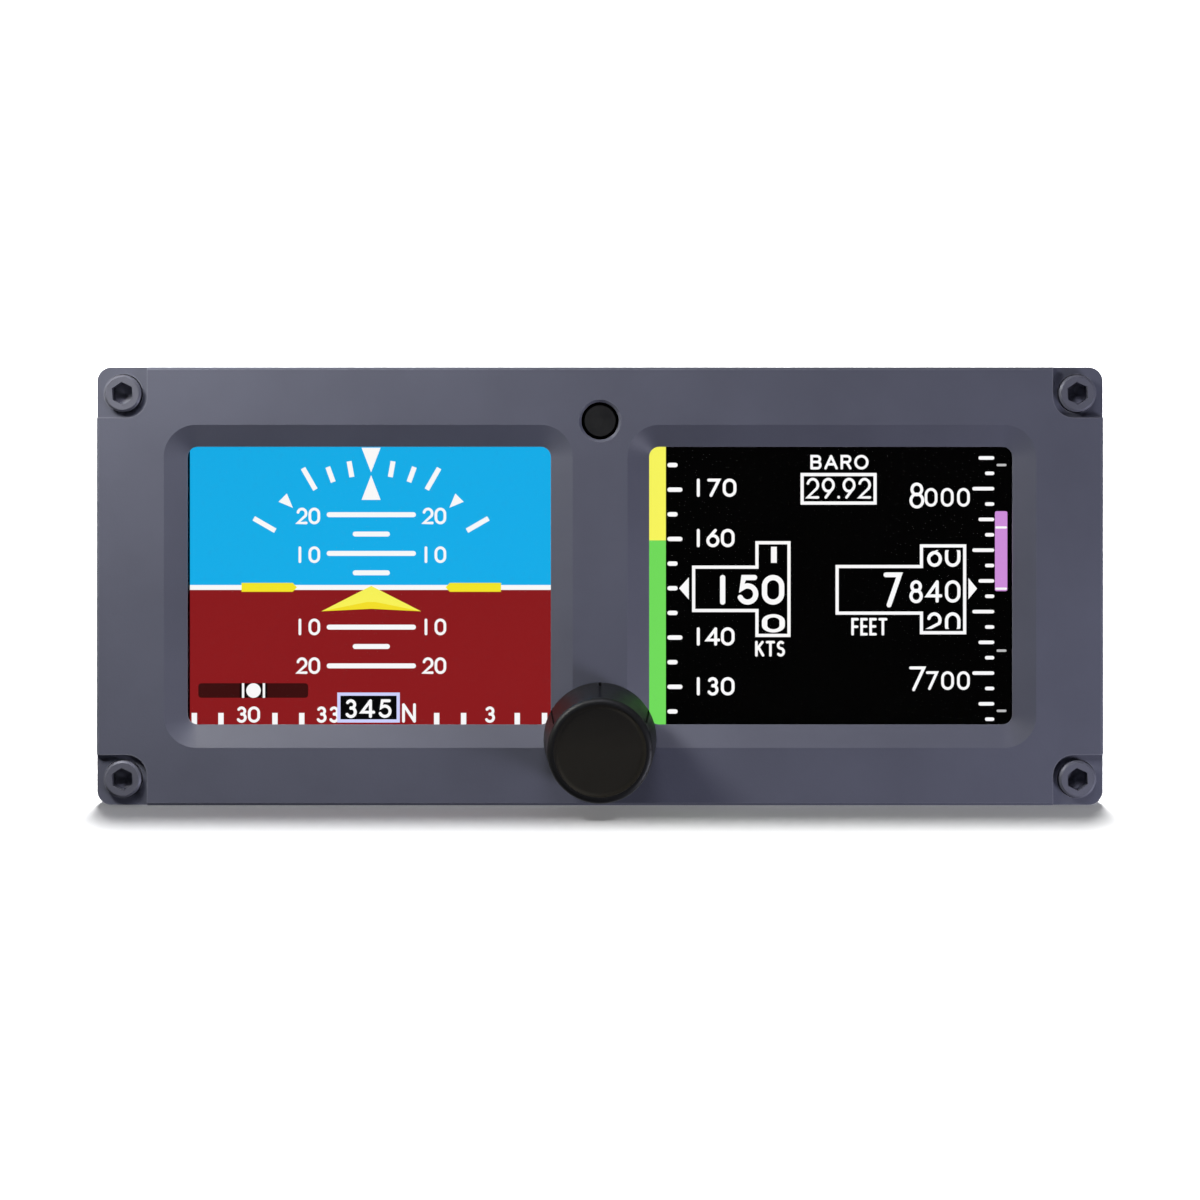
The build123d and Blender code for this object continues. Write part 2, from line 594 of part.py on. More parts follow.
def make_display_tray(side):
    """Folded metal tray that wraps the backlight and the cell."""
    inside = module_slab(side, TRAY_WALL, CELL_FRONT, BACKLIGHT_BACK)
    return module_slab(side, 0, CELL_FRONT, TRAY_BACK) - inside


def make_display_flex(side):
    """Flat flexible lead from the module to its socket behind the board."""
    x = side * WINDOW_PITCH / 2
    back = BOARD_BACK + FLEX_THICKNESS
    low = BOARD_BOTTOM + FLEX_THICKNESS
    under = block(
        x - FLEX_WIDTH / 2, x + FLEX_WIDTH / 2, CELL_BACK, back, BOARD_BOTTOM, low)
    behind = block(
        x - FLEX_WIDTH / 2, x + FLEX_WIDTH / 2, BOARD_BACK, back, BOARD_BOTTOM, low + FLEX_SOCKET_RISE)
    return under + behind


def board_screw_points():
    """Screws of the display board: beside the light sensor and in the bar between the windows."""
    sensor_row = [(across * SENSOR_SCREW_SPACING / 2, SENSOR_HEIGHT) for across in (-1, 1)]
    return sensor_row + [(0, BAR_SCREW_HEIGHT)]


def make_display_board():
    """Board behind both displays, notched for the rotary switch and the two flexible leads."""
    board = slab(board_outline(0), BOARD_FRONT, BOARD_BACK)
    board -= slab(encoder_outline(ENCODER_CLEARANCE), BOARD_FRONT, BOARD_BACK)
    for side in SIDES.values():
        x = side * WINDOW_PITCH / 2
        half = FLEX_WIDTH / 2 + BOARD_CLEARANCE
        top = BOARD_BOTTOM + FLEX_THICKNESS + BOARD_CLEARANCE
        board -= block(x - half, x + half, BOARD_FRONT, BOARD_BACK, BOARD_BOTTOM, top)
    for x, z in board_screw_points():
        board -= rod(x, z, BOARD_SCREW_DIAMETER + 2 * HOLE_CLEARANCE, BOARD_FRONT, BOARD_BACK)
    return board


def make_display_board_parts():
    """Photodiode behind the sensor lens, flex sockets and display driver chips."""
    half = SENSOR_CHIP_SIZE / 2
    chip_front = BOARD_FRONT - SENSOR_CHIP_THICKNESS
    parts = [block(-half, half, chip_front, BOARD_FRONT, SENSOR_HEIGHT - half, SENSOR_HEIGHT + half)]
    for side in SIDES.values():
        x = side * WINDOW_PITCH / 2
        low = BOARD_BOTTOM + FLEX_THICKNESS + FLEX_SOCKET_RISE
        half = FLEX_WIDTH / 2 + 1.5 * FLEX_SOCKET_THICKNESS
        parts.append(block(
            x - half, x + half, BOARD_BACK, BOARD_BACK + FLEX_SOCKET_THICKNESS, low, low + FLEX_SOCKET_HEIGHT))
        parts.append(block(
            x - DRIVER_CHIP_SIZE / 2, x + DRIVER_CHIP_SIZE / 2, BOARD_BACK, BOARD_BACK + CHIP_THICKNESS,
            0, DRIVER_CHIP_SIZE))
    return joined(parts)


def board_screw(x, z):
    """Pan-head screw of the display board, driven from behind."""
    head = rod(x, z, BOARD_SCREW_HEAD, BOARD_BACK, BOARD_BACK + BOARD_SCREW_HEAD_HEIGHT)
    head = fillet(head.edges().filter_by(GeomType.CIRCLE).sort_by(Axis.Y)[-1], BOARD_SCREW_HEAD_HEIGHT / 2)
    return head + rod(x, z, BOARD_SCREW_DIAMETER, BOARD_BACK - BOARD_SCREW_LENGTH, BOARD_BACK)


def make_display_board_screws():
    """Three screws that hold the display board to the bezel."""
    return joined([board_screw(x, z) for x, z in board_screw_points()])


def shaft_outline(grow):
    """Round shaft with one flat below, grown by a clearance."""
    radius = SHAFT_DIAMETER / 2 + grow
    flat = SHAFT_DIAMETER / 2 - SHAFT_FLAT + grow
    outline = Circle(radius) & Pos(0, radius - flat) * Rectangle(2 * radius, 2 * radius)
    return Pos(0, -KNOB_DROP) * outline


def make_knob_shaft():
    """Flatted shaft that turns with the knob and slides through the detent wheel."""
    return slab(shaft_outline(0), SHAFT_FRONT, SHAFT_BACK)


def knob_radius_at(y):
    """Radius of the knob's tapered side at a depth."""
    share = (y - KNOB_FRONT) / KNOB_LENGTH
    return KNOB_FRONT_DIAMETER / 2 + share * (KNOB_DIAMETER - KNOB_FRONT_DIAMETER) / 2


def make_knob_body():
    """Tapered grip, hollow behind for the nut, with axial grooves and a recess for its front disc."""
    front, back = KNOB_FRONT_DIAMETER / 2, KNOB_DIAMETER / 2
    side = Polyline(
        (0, KNOB_FRONT), (front, KNOB_FRONT), (back, BASE_FRONT - KNOB_BASE_BREAK),
        (back - KNOB_BASE_BREAK, BASE_FRONT), (0, BASE_FRONT), close=True)
    body = revolve(make_face(side), Axis.Y)
    rim = body.edges().filter_by(GeomType.CIRCLE).sort_by(Axis.Y)[0]
    body = fillet(rim, KNOB_EDGE_RADIUS)
    body = Pos(0, 0, -KNOB_DROP) * body
    body -= rod(0, -KNOB_DROP, KNOB_CAP_DIAMETER, KNOB_FRONT, KNOB_FRONT + KNOB_CAP_RECESS + KNOB_CAP_THICKNESS)
    nut_corner = NUT_ACROSS_FLATS / 2 / cos(radians(30))
    cavity = max(nut_corner, WASHER_DIAMETER / 2) + NUT_CLEARANCE
    body -= rod(0, -KNOB_DROP, 2 * cavity, CAVITY_FRONT, BASE_FRONT)
    body -= slab(shaft_outline(RUNNING_CLEARANCE), SHAFT_FRONT, CAVITY_FRONT)
    body -= rod_down(BASE_FRONT - SET_SCREW_FROM_BASE, SET_SCREW_DIAMETER, SHAFT_DIAMETER / 2 - SHAFT_FLAT, back)
    for index in range(KNOB_GROOVE_COUNT):
        body -= knob_groove(index * 360 / KNOB_GROOVE_COUNT)
    return body


def rod_down(y, diameter, start, end):
    """Round bar that runs down from the knob's axis, between two distances from it."""
    bar = upright(Pos(0, y) * Circle(diameter / 2), -KNOB_DROP - end, -KNOB_DROP - start)
    return bar


def knob_groove(angle):
    """Cutter of one axial groove along the knob's side, which follows the taper."""
    start = BASE_FRONT - KNOB_GROOVE_START
    end = KNOB_FRONT + KNOB_GROOVE_TO_FRONT
    floor_back = knob_radius_at(start) - KNOB_GROOVE_DEPTH
    floor_front = knob_radius_at(end) - KNOB_GROOVE_DEPTH
    outer = KNOB_DIAMETER
    profile = Polyline(
        (start, floor_back), (start, outer), (end, outer), (end, floor_front), close=True)
    groove = extrude(Plane.YZ * make_face(profile), amount=KNOB_GROOVE_WIDTH / 2, both=True)
    return Pos(0, 0, -KNOB_DROP) * Rot(0, angle, 0) * groove


def make_knob_cap():
    """Bare disc set in the knob's front."""
    front = KNOB_FRONT + KNOB_CAP_RECESS
    return rod(0, -KNOB_DROP, KNOB_CAP_DIAMETER, front, front + KNOB_CAP_THICKNESS)


def make_knob_set_screw():
    """Socket set screw that holds the knob on the shaft's flat."""
    y = BASE_FRONT - SET_SCREW_FROM_BASE
    start = SHAFT_DIAMETER / 2 - SHAFT_FLAT
    screw = rod_down(y, SET_SCREW_DIAMETER, start, start + SET_SCREW_LENGTH)
    socket = Pos(0, y) * RegularPolygon(SET_SCREW_SOCKET / 2, 6, major_radius=False)
    bottom = -KNOB_DROP - start - SET_SCREW_LENGTH
    return screw - upright(socket, bottom, bottom + SET_SCREW_SOCKET)


def make_encoder_housing():
    """Rotary switch housing with the threaded bushing that passes through the bezel."""
    housing = slab(encoder_outline(0), BOARD_FRONT, ENCODER_BACK)
    housing -= slab(encoder_outline(-ENCODER_WALL), ENCODER_CAVITY_FRONT, ENCODER_BACK)
    housing += rod(0, -KNOB_DROP, BUSHING_DIAMETER, BUSHING_FRONT, BOARD_FRONT)
    bore = SHAFT_DIAMETER + 2 * RUNNING_CLEARANCE
    return housing - rod(0, -KNOB_DROP, bore, BUSHING_FRONT, ENCODER_CAVITY_FRONT)


def make_encoder_nut():
    """Hexagon nut that clamps the bushing, hidden inside the knob."""
    nut = hex_bar(0, -KNOB_DROP, NUT_ACROSS_FLATS, NUT_FRONT, FRONT - WASHER_THICKNESS)
    return nut - rod(0, -KNOB_DROP, BUSHING_DIAMETER, NUT_FRONT, FRONT)


def make_encoder_washer():
    """Plain washer between the nut and the bezel."""
    washer = rod(0, -KNOB_DROP, WASHER_DIAMETER, FRONT - WASHER_THICKNESS, FRONT)
    return washer - rod(0, -KNOB_DROP, BUSHING_DIAMETER + 2 * BUSHING_CLEARANCE, NUT_FRONT, FRONT)


def make_detent_wheel():
    """Notched wheel that the knob's shaft turns."""
    front = ENCODER_CAVITY_FRONT + WHEEL_SIDE_CLEARANCE
    wheel = rod(0, -KNOB_DROP, WHEEL_DIAMETER, front, front + WHEEL_THICKNESS)
    wheel += rod(0, -KNOB_DROP, WHEEL_HUB_DIAMETER, front, SHAFT_BACK)
    for index in range(WHEEL_NOTCH_COUNT):
        turn = radians(index * 360 / WHEEL_NOTCH_COUNT)
        x = WHEEL_DIAMETER / 2 * cos(turn)
        z = WHEEL_DIAMETER / 2 * sin(turn) - KNOB_DROP
        wheel -= rod(x, z, 2 * WHEEL_NOTCH_RADIUS, front, front + WHEEL_THICKNESS)
    return wheel - slab(shaft_outline(RUNNING_CLEARANCE), front, SHAFT_BACK)


def make_detent_spring():
    """Leaf spring whose bump rides over the wheel's notches."""
    wall = ENCODER_WIDTH / 2 - ENCODER_WALL
    outer = wall - SPRING_SETBACK
    inner = outer - SPRING_THICKNESS
    half_height = ENCODER_HEIGHT / 2 - ENCODER_WALL
    front = ENCODER_CAVITY_FRONT + WHEEL_SIDE_CLEARANCE
    leaf = block(inner, outer, front, front + SPRING_WIDTH, -KNOB_DROP - half_height, -KNOB_DROP + half_height)
    tip = WHEEL_DIAMETER / 2 + RUNNING_CLEARANCE
    bump_radius = (outer - tip) / 2
    return leaf + rod(tip + bump_radius, -KNOB_DROP, 2 * bump_radius, front, front + SPRING_WIDTH)


def make_encoder_back_plate():
    """Plate that closes the rotary switch and carries its contact pins."""
    plate = slab(encoder_outline(0), ENCODER_BACK, ENCODER_BACK + ENCODER_BACK_THICKNESS)
    for index in range(-2, 3):
        pin = Pos(index * ENCODER_PIN_PITCH, -KNOB_DROP) * Rectangle(ENCODER_PIN_SIZE, ENCODER_PIN_SIZE)
        plate += slab(pin, ENCODER_BACK, ENCODER_BACK + ENCODER_BACK_THICKNESS + ENCODER_PIN_LENGTH)
    return plate


def make_push_dome():
    """Metal snap dome that the shaft presses when the knob is pushed."""
    base = DOME_DIAMETER / 2
    sphere_radius = (base ** 2 + DOME_HEIGHT ** 2) / (2 * DOME_HEIGHT)
    ball = Pos(0, DOME_FRONT + sphere_radius, -KNOB_DROP) * Sphere(sphere_radius)
    return ball & rod(0, -KNOB_DROP, DOME_DIAMETER, DOME_FRONT, ENCODER_BACK)


def cover_screw_points():
    """Screws of the top cover along both side flanges and into the rear posts."""
    x = INNER_HALF_WIDTH - COVER_FLANGE_WIDTH / 2
    front = CASE_FRONT + CASE_DEPTH / 4
    middle = CASE_FRONT + CASE_DEPTH * 0.58
    back = CASE_BACK - POST_LENGTH / 2
    return [(side * x, y) for side in (-1, 1) for y in (front, middle, back)]


def case_lug_screws(up):
    """Case screws of the lugs at the bottom or the top."""
    return [(x, y) for x, y, way in lug_screw_points() if way == up]


def rear_screw_points():
    """Screws of the rear panel, in the middle of the corner posts."""
    x = INNER_HALF_WIDTH - POST_SIZE / 2
    z = INNER_HALF_HEIGHT - POST_SIZE / 2
    return [(x_side * x, z_side * z) for x_side, z_side in CORNERS]


def make_chassis():
    """Open tray of floor and side walls, with flanges for the cover and posts for the rear panel."""
    outer = Pos(0, (CASE_WALL - CASE_HEIGHT) / 2 + (CASE_HEIGHT - CASE_WALL) / 2) * Rectangle(CASE_WIDTH, CASE_HEIGHT)
    tray = slab(outer, CASE_FRONT, CASE_BACK)
    lower_edges = tray.edges().filter_by(Axis.Y).group_by(Axis.Z)[0]
    tray = fillet(lower_edges, CASE_EDGE_RADIUS)
    inside = block(
        -INNER_HALF_WIDTH, INNER_HALF_WIDTH, CASE_FRONT, CASE_BACK, -INNER_HALF_HEIGHT, CASE_HEIGHT / 2)
    roof = block(
        -CASE_WIDTH / 2, CASE_WIDTH / 2, CASE_FRONT, CASE_BACK, INNER_HALF_HEIGHT, CASE_HEIGHT / 2)
    tray = tray - inside - roof
    for side in (-1, 1):
        near, far = sorted((side * (INNER_HALF_WIDTH - COVER_FLANGE_WIDTH), side * INNER_HALF_WIDTH))
        start = CASE_FRONT + LUG_LENGTH + 2 * CASE_FIT
        low = INNER_HALF_HEIGHT - COVER_FLANGE_THICKNESS
        tray += block(near, far, start, CASE_BACK, low, INNER_HALF_HEIGHT)
    for x_side, z_side in CORNERS:
        near, far = sorted((x_side * (INNER_HALF_WIDTH - POST_SIZE), x_side * INNER_HALF_WIDTH))
        low, high = sorted((z_side * (INNER_HALF_HEIGHT - POST_SIZE), z_side * INNER_HALF_HEIGHT))
        tray += block(near, far, CASE_BACK - POST_LENGTH, CASE_BACK, low, high)
    for x, z in rear_screw_points():
        tray -= rod(x, z, CASE_SCREW_DIAMETER, rear_screw_tip(), CASE_BACK)
    for x, y in cover_screw_points():
        tray -= screw_hole(x, y, 1, CASE_SCREW_LENGTH + CASE_SCREW_RECESS, CASE_SCREW_DIAMETER)
    for x, y in case_lug_screws(-1):
        tray -= countersink(x, y, -1)
    return tray


def make_top_cover():
    """Flat cover with countersunk holes."""
    plate = block(
        -CASE_WIDTH / 2, CASE_WIDTH / 2, CASE_FRONT, CASE_BACK, INNER_HALF_HEIGHT, CASE_HEIGHT / 2)
    upper_edges = plate.edges().filter_by(Axis.Y).group_by(Axis.Z)[-1]
    plate = fillet(upper_edges, CASE_EDGE_RADIUS)
    for x, y in cover_screw_points() + case_lug_screws(1):
        plate -= countersink(x, y, 1)
    return plate


def rear_screw_tip():
    """Depth that the rear panel's screws reach."""
    return REAR_FACE - CASE_SCREW_RECESS - CASE_SCREW_LENGTH - REAR_PANEL_THICKNESS


def rear_screw(x, z):
    """Countersunk screw of the rear panel, longer by the panel's thickness."""
    head_back = REAR_FACE - CASE_SCREW_RECESS
    cone_front = head_back - (CASE_SCREW_HEAD - CASE_SCREW_DIAMETER) / 2
    head = loft([
        front_plane(cone_front) * Pos(x, z) * Circle(CASE_SCREW_DIAMETER / 2),
        front_plane(head_back) * Pos(x, z) * Circle(CASE_SCREW_HEAD / 2)])
    screw = head + rod(x, z, CASE_SCREW_DIAMETER, rear_screw_tip(), cone_front)
    return screw - hex_bar(x, z, CASE_SCREW_SOCKET, head_back - CASE_SCREW_SOCKET_DEPTH, head_back)


def make_case_screws():
    """Countersunk screws of the top cover, the bezel's lugs and the rear panel."""
    screws = [case_screw(x, y, 1) for x, y in cover_screw_points()]
    screws += [case_screw(x, y, up) for x, y, up in lug_screw_points()]
    screws += [rear_screw(x, z) for x, z in rear_screw_points()]
    return joined(screws)


def rear_countersink(x, z):
    """Seat of a countersunk head in the rear panel."""
    seat = REAR_FACE - CASE_SCREW_RECESS
    radius = CASE_SCREW_DIAMETER / 2 + HOLE_CLEARANCE
    head = CASE_SCREW_HEAD / 2 + HOLE_CLEARANCE
    cone = loft([
        front_plane(seat - (head - radius)) * Pos(x, z) * Circle(radius),
        front_plane(seat) * Pos(x, z) * Circle(head)])
    return cone + rod(x, z, 2 * radius, CASE_BACK, REAR_FACE) + rod(x, z, 2 * head, seat, REAR_FACE)


def make_rear_panel():
    """Thick rear plate with openings for the connector, the two air ports and the ground stud."""
    plate = slab(RectangleRounded(CASE_WIDTH, CASE_HEIGHT, CASE_EDGE_RADIUS), CASE_BACK, REAR_FACE)
    for x, z in rear_screw_points():
        plate -= rear_countersink(x, z)
    for x in port_positions():
        plate -= rod(x, PORT_Z, PORT_TAIL_DIAMETER + 2 * PORT_HOLE_CLEARANCE, CASE_BACK, REAR_FACE)
    plate -= rod(STUD_X, STUD_Z, STUD_TAIL_DIAMETER + 2 * HOLE_CLEARANCE, CASE_BACK, REAR_FACE)
    plate -= slab(connector_outline(CONNECTOR_FIT), CASE_BACK, REAR_FACE)
    for x in jack_positions():
        plate -= rod(x, CONNECTOR_Z, CONNECTOR_JACK_THREAD + 2 * HOLE_CLEARANCE, CASE_BACK, REAR_FACE)
    return plate


def port_positions():
    """Places of the two air ports across the rear panel, pitot first."""
    return [PORT_X - PORT_SPACING / 2, PORT_X + PORT_SPACING / 2]


def jack_positions():
    """Places of the connector's two jack posts."""
    return [CONNECTOR_X - CONNECTOR_JACK_SPACING / 2, CONNECTOR_X + CONNECTOR_JACK_SPACING / 2]


def connector_outline(grow):
    """D-shaped outline of the connector, wider at the top, grown by a clearance."""
    shell = Trapezoid(
        CONNECTOR_SHELL_WIDTH + 2 * grow, CONNECTOR_SHELL_HEIGHT + 2 * grow, CONNECTOR_SLANT)
    shell = fillet(shell.vertices(), CONNECTOR_SHELL_RADIUS)
    return Pos(CONNECTOR_X, CONNECTOR_Z) * Rot(0, 0, 180) * shell


def make_connector_shell():
    """Plated shell of the connector, with its flange on the rear panel."""
    flange = Pos(CONNECTOR_X, CONNECTOR_Z) * RectangleRounded(
        CONNECTOR_FLANGE_WIDTH, CONNECTOR_FLANGE_HEIGHT, CONNECTOR_SHELL_RADIUS)
    body = slab(flange, REAR_FACE, CONNECTOR_FLANGE_BACK)
    body += slab(connector_outline(0), REAR_FACE, CONNECTOR_FLANGE_BACK + CONNECTOR_SHELL_LENGTH)
    body -= slab(
        connector_outline(-CONNECTOR_SHELL_WALL), REAR_FACE, CONNECTOR_FLANGE_BACK + CONNECTOR_SHELL_LENGTH)
    for x in jack_positions():
        body -= rod(x, CONNECTOR_Z, CONNECTOR_JACK_THREAD + 2 * HOLE_CLEARANCE, REAR_FACE, CONNECTOR_FLANGE_BACK)
    return body


def make_connector_insulator():
    """Moulded block that holds the pins."""
    front = REAR_FACE - CONNECTOR_INSULATOR_LENGTH
    outline = connector_outline(-CONNECTOR_SHELL_WALL)
    body = slab(outline, front, REAR_FACE + CONNECTOR_FACE_HEIGHT)
    for x, z in pin_positions():
        body -= rod(x, z, CONNECTOR_PIN_DIAMETER, front, REAR_FACE + CONNECTOR_FACE_HEIGHT)
    return body


def pin_positions():
    """Two staggered rows of pins, the shorter one below."""
    points = []
    short_row = CONNECTOR_CONTACT_COUNT // 2
    for row, count in ((1, CONNECTOR_CONTACT_COUNT - short_row), (-1, short_row)):
        z = CONNECTOR_Z + row * CONNECTOR_ROW_SPACING / 2
        first = CONNECTOR_X - (count - 1) * CONNECTOR_PIN_PITCH / 2
        points += [(first + index * CONNECTOR_PIN_PITCH, z) for index in range(count)]
    return points


def make_connector_pins():
    """Contacts whose tails turn down into the main board."""
    pins = []
    front = REAR_FACE - CONNECTOR_INSULATOR_LENGTH
    for x, z in pin_positions():
        row = 1 if z > CONNECTOR_Z else 0
        tail_front = front - TAIL_REACH - row * CONNECTOR_ROW_SPACING
        half = TAIL_SIZE / 2
        contact = rod(x, z, CONNECTOR_PIN_DIAMETER, front, CONNECTOR_FLANGE_BACK + CONNECTOR_PIN_REACH)
        along = block(x - half, x + half, tail_front, front, z - half, z + half)
        down = block(x - half, x + half, tail_front, tail_front + TAIL_SIZE, MAIN_BOARD_TOP, z + half)
        pins.append(contact + along + down)
    return joined(pins)


def make_connector_jack_posts():
    """Two hexagonal posts that a mating plug is screwed to."""
    posts = []
    back = CONNECTOR_FLANGE_BACK + CONNECTOR_JACK_LENGTH
    for x in jack_positions():
        post = hex_bar(x, CONNECTOR_Z, CONNECTOR_JACK_ACROSS_FLATS, CONNECTOR_FLANGE_BACK, back)
        bore_front = CONNECTOR_FLANGE_BACK + CONNECTOR_JACK_FLOOR
        post -= rod(x, CONNECTOR_Z, CONNECTOR_JACK_THREAD, bore_front, back)
        thread_front = CASE_BACK - CONNECTOR_JACK_THREAD
        post += rod(x, CONNECTOR_Z, CONNECTOR_JACK_THREAD, thread_front, CONNECTOR_FLANGE_BACK)
        posts.append(post)
    return joined(posts)


def make_air_fitting(x):
    """Bulkhead fitting: flared threaded nipple outside, hexagon at the panel, lock nut and barb inside."""
    hex_back = REAR_FACE + PORT_HEX_THICKNESS
    thread_back = hex_back + PORT_THREAD_LENGTH
    nut_front = CASE_BACK - PORT_NUT_THICKNESS
    barb_front = nut_front - PORT_BARB_LENGTH
    body = hex_bar(x, PORT_Z, PORT_HEX_ACROSS_FLATS, REAR_FACE, hex_back)
    body += rod(x, PORT_Z, PORT_THREAD_DIAMETER, hex_back, thread_back)
    body += loft([
        front_plane(thread_back) * Pos(x, PORT_Z) * Circle(PORT_THREAD_DIAMETER / 2 - PORT_NOSE_STEP),
        front_plane(thread_back + PORT_NOSE_LENGTH) * Pos(x, PORT_Z) * Circle(PORT_NOSE_DIAMETER / 2)])
    body += rod(x, PORT_Z, PORT_TAIL_DIAMETER, nut_front, REAR_FACE)
    body += rod(x, PORT_Z, PORT_BARB_DIAMETER, barb_front, nut_front)
    bore_back = thread_back + PORT_NOSE_LENGTH
    wide = rod(x, PORT_Z, PORT_BORE_DIAMETER, REAR_FACE, bore_back)
    narrow = rod(x, PORT_Z, PORT_BARB_DIAMETER - 2 * PORT_BARB_WALL, barb_front, REAR_FACE)
    return body - wide - narrow


def make_port_nuts():
    """Lock nuts of both air fittings, inside the rear panel."""
    nuts = []
    for x in port_positions():
        nut = hex_bar(x, PORT_Z, PORT_NUT_ACROSS_FLATS, CASE_BACK - PORT_NUT_THICKNESS, CASE_BACK)
        nuts.append(nut - rod(x, PORT_Z, PORT_TAIL_DIAMETER, CASE_BACK - PORT_NUT_THICKNESS, CASE_BACK))
    return joined(nuts)


def make_ground_stud():
    """Threaded stud on a hexagonal base outside the rear panel, with a tail for its nut inside."""
    hex_back = REAR_FACE + STUD_HEX_THICKNESS
    tail_front = CASE_BACK - STUD_NUT_THICKNESS - STUD_TAIL_REACH
    stud = hex_bar(STUD_X, STUD_Z, STUD_HEX_ACROSS_FLATS, REAR_FACE, hex_back)
    stud += rod(STUD_X, STUD_Z, STUD_DIAMETER, hex_back, REAR_FACE + STUD_LENGTH)
    return stud + rod(STUD_X, STUD_Z, STUD_TAIL_DIAMETER, tail_front, REAR_FACE)


def make_ground_nut():
    """Nut that clamps the ground stud from inside the rear panel."""
    front = CASE_BACK - STUD_NUT_THICKNESS
    nut = hex_bar(STUD_X, STUD_Z, STUD_NUT_ACROSS_FLATS, front, CASE_BACK)
    return nut - rod(STUD_X, STUD_Z, STUD_TAIL_DIAMETER, front, CASE_BACK)


def stack_points(middle_x, middle_y, width, length):
    """Corner screws of a board or cradle in the stack."""
    x = width / 2 - STACK_EDGE_DISTANCE
    y = length / 2 - STACK_EDGE_DISTANCE
    return [(middle_x + x_side * x, middle_y + y_side * y) for x_side, y_side in CORNERS]


def battery_points():
    """Corner screws of the battery cradle."""
    return stack_points(BATTERY_X, BATTERY_Y, BATTERY_WIDTH, BATTERY_LENGTH)


def power_points():
    """Corner screws of the power board."""
    return stack_points(POWER_BOARD_X, POWER_BOARD_Y, POWER_BOARD_WIDTH, POWER_BOARD_LENGTH)


def post_column(x, y, diameter, bottom, top):
    """Upright round bar."""
    return upright(Pos(x, y) * Circle(diameter / 2), bottom, top)


def hex_post(x, y, bottom, top):
    """Upright hexagonal bar."""
    outline = Pos(x, y) * RegularPolygon(STANDOFF_ACROSS_FLATS / 2, 6, major_radius=False)
    return upright(outline, bottom, top)


def make_floor_standoffs():
    """Short standoffs pressed into the chassis floor, under the main board."""
    posts = []
    for x, y in battery_points() + power_points():
        post = hex_post(x, y, -INNER_HALF_HEIGHT, MAIN_BOARD_BOTTOM)
        bore_bottom = MAIN_BOARD_TOP - STACK_STUD_LENGTH
        posts.append(post - post_column(x, y, STACK_STUD_DIAMETER, bore_bottom, MAIN_BOARD_BOTTOM))
    return joined(posts)


def make_stack_standoffs():
    """Tall standoffs that clamp the main board and carry the battery cradle and the power board."""
    posts = []
    for x, y in battery_points() + power_points():
        post = hex_post(x, y, MAIN_BOARD_TOP, SHELF_HEIGHT)
        post -= post_column(x, y, STACK_STUD_DIAMETER, SHELF_HEIGHT - STACK_SCREW_REACH, SHELF_HEIGHT)
        stud = post_column(x, y, STACK_STUD_DIAMETER, MAIN_BOARD_TOP - STACK_STUD_LENGTH, MAIN_BOARD_TOP)
        posts.append(post + stud)
    return joined(posts)


def make_main_board():
    """Processor board over the chassis floor, notched round the rear posts."""
    half = MAIN_BOARD_WIDTH / 2
    board = block(-half, half, MAIN_BOARD_FRONT, MAIN_BOARD_BACK, MAIN_BOARD_BOTTOM, MAIN_BOARD_TOP)
    notch_front = CASE_BACK - POST_LENGTH - BOARD_CLEARANCE
    for side in (-1, 1):
        near, far = sorted((side * (INNER_HALF_WIDTH - POST_SIZE - BOARD_CLEARANCE), side * INNER_HALF_WIDTH))
        board -= block(near, far, notch_front, CASE_BACK, MAIN_BOARD_BOTTOM, MAIN_BOARD_TOP)
    for x, y in battery_points() + power_points():
        hole = STACK_STUD_DIAMETER + 2 * HOLE_CLEARANCE
        board -= post_column(x, y, hole, MAIN_BOARD_BOTTOM, MAIN_BOARD_TOP)
    return board


def make_main_board_parts():
    """Processor, memory chips, power inductors and capacitors on the main board."""
    parts = []
    processor_x = BATTERY_X
    half = PROCESSOR_SIZE / 2
    parts.append(block(
        processor_x - half, processor_x + half, BATTERY_Y - half, BATTERY_Y + half,
        MAIN_BOARD_TOP, MAIN_BOARD_TOP + CHIP_THICKNESS))
    for index in (-1, 1):
        x = processor_x + index * PROCESSOR_SIZE
        parts.append(block(
            x - MEMORY_WIDTH / 2, x + MEMORY_WIDTH / 2, BATTERY_Y - MEMORY_LENGTH / 2,
            BATTERY_Y + MEMORY_LENGTH / 2, MAIN_BOARD_TOP, MAIN_BOARD_TOP + CHIP_THICKNESS))
    for index in range(CAPACITOR_COUNT):
        x = processor_x + (index - (CAPACITOR_COUNT - 1) / 2) * CAPACITOR_PITCH
        y = MAIN_BOARD_FRONT + LEAD_SOCKET + CAPACITOR_DIAMETER
        parts.append(post_column(x, y, CAPACITOR_DIAMETER, MAIN_BOARD_TOP, MAIN_BOARD_TOP + CAPACITOR_HEIGHT))
    return joined(parts)


def make_power_board():
    """Power supply board over the inertial sensor."""
    outline = Pos(POWER_BOARD_X, POWER_BOARD_Y) * Rectangle(POWER_BOARD_WIDTH, POWER_BOARD_LENGTH)
    board = upright(outline, SHELF_HEIGHT, SHELF_HEIGHT + BOARD_THICKNESS)
    for x, y in power_points():
        hole = STACK_STUD_DIAMETER + 2 * HOLE_CLEARANCE
        board -= post_column(x, y, hole, SHELF_HEIGHT, SHELF_HEIGHT + BOARD_THICKNESS)
    return board


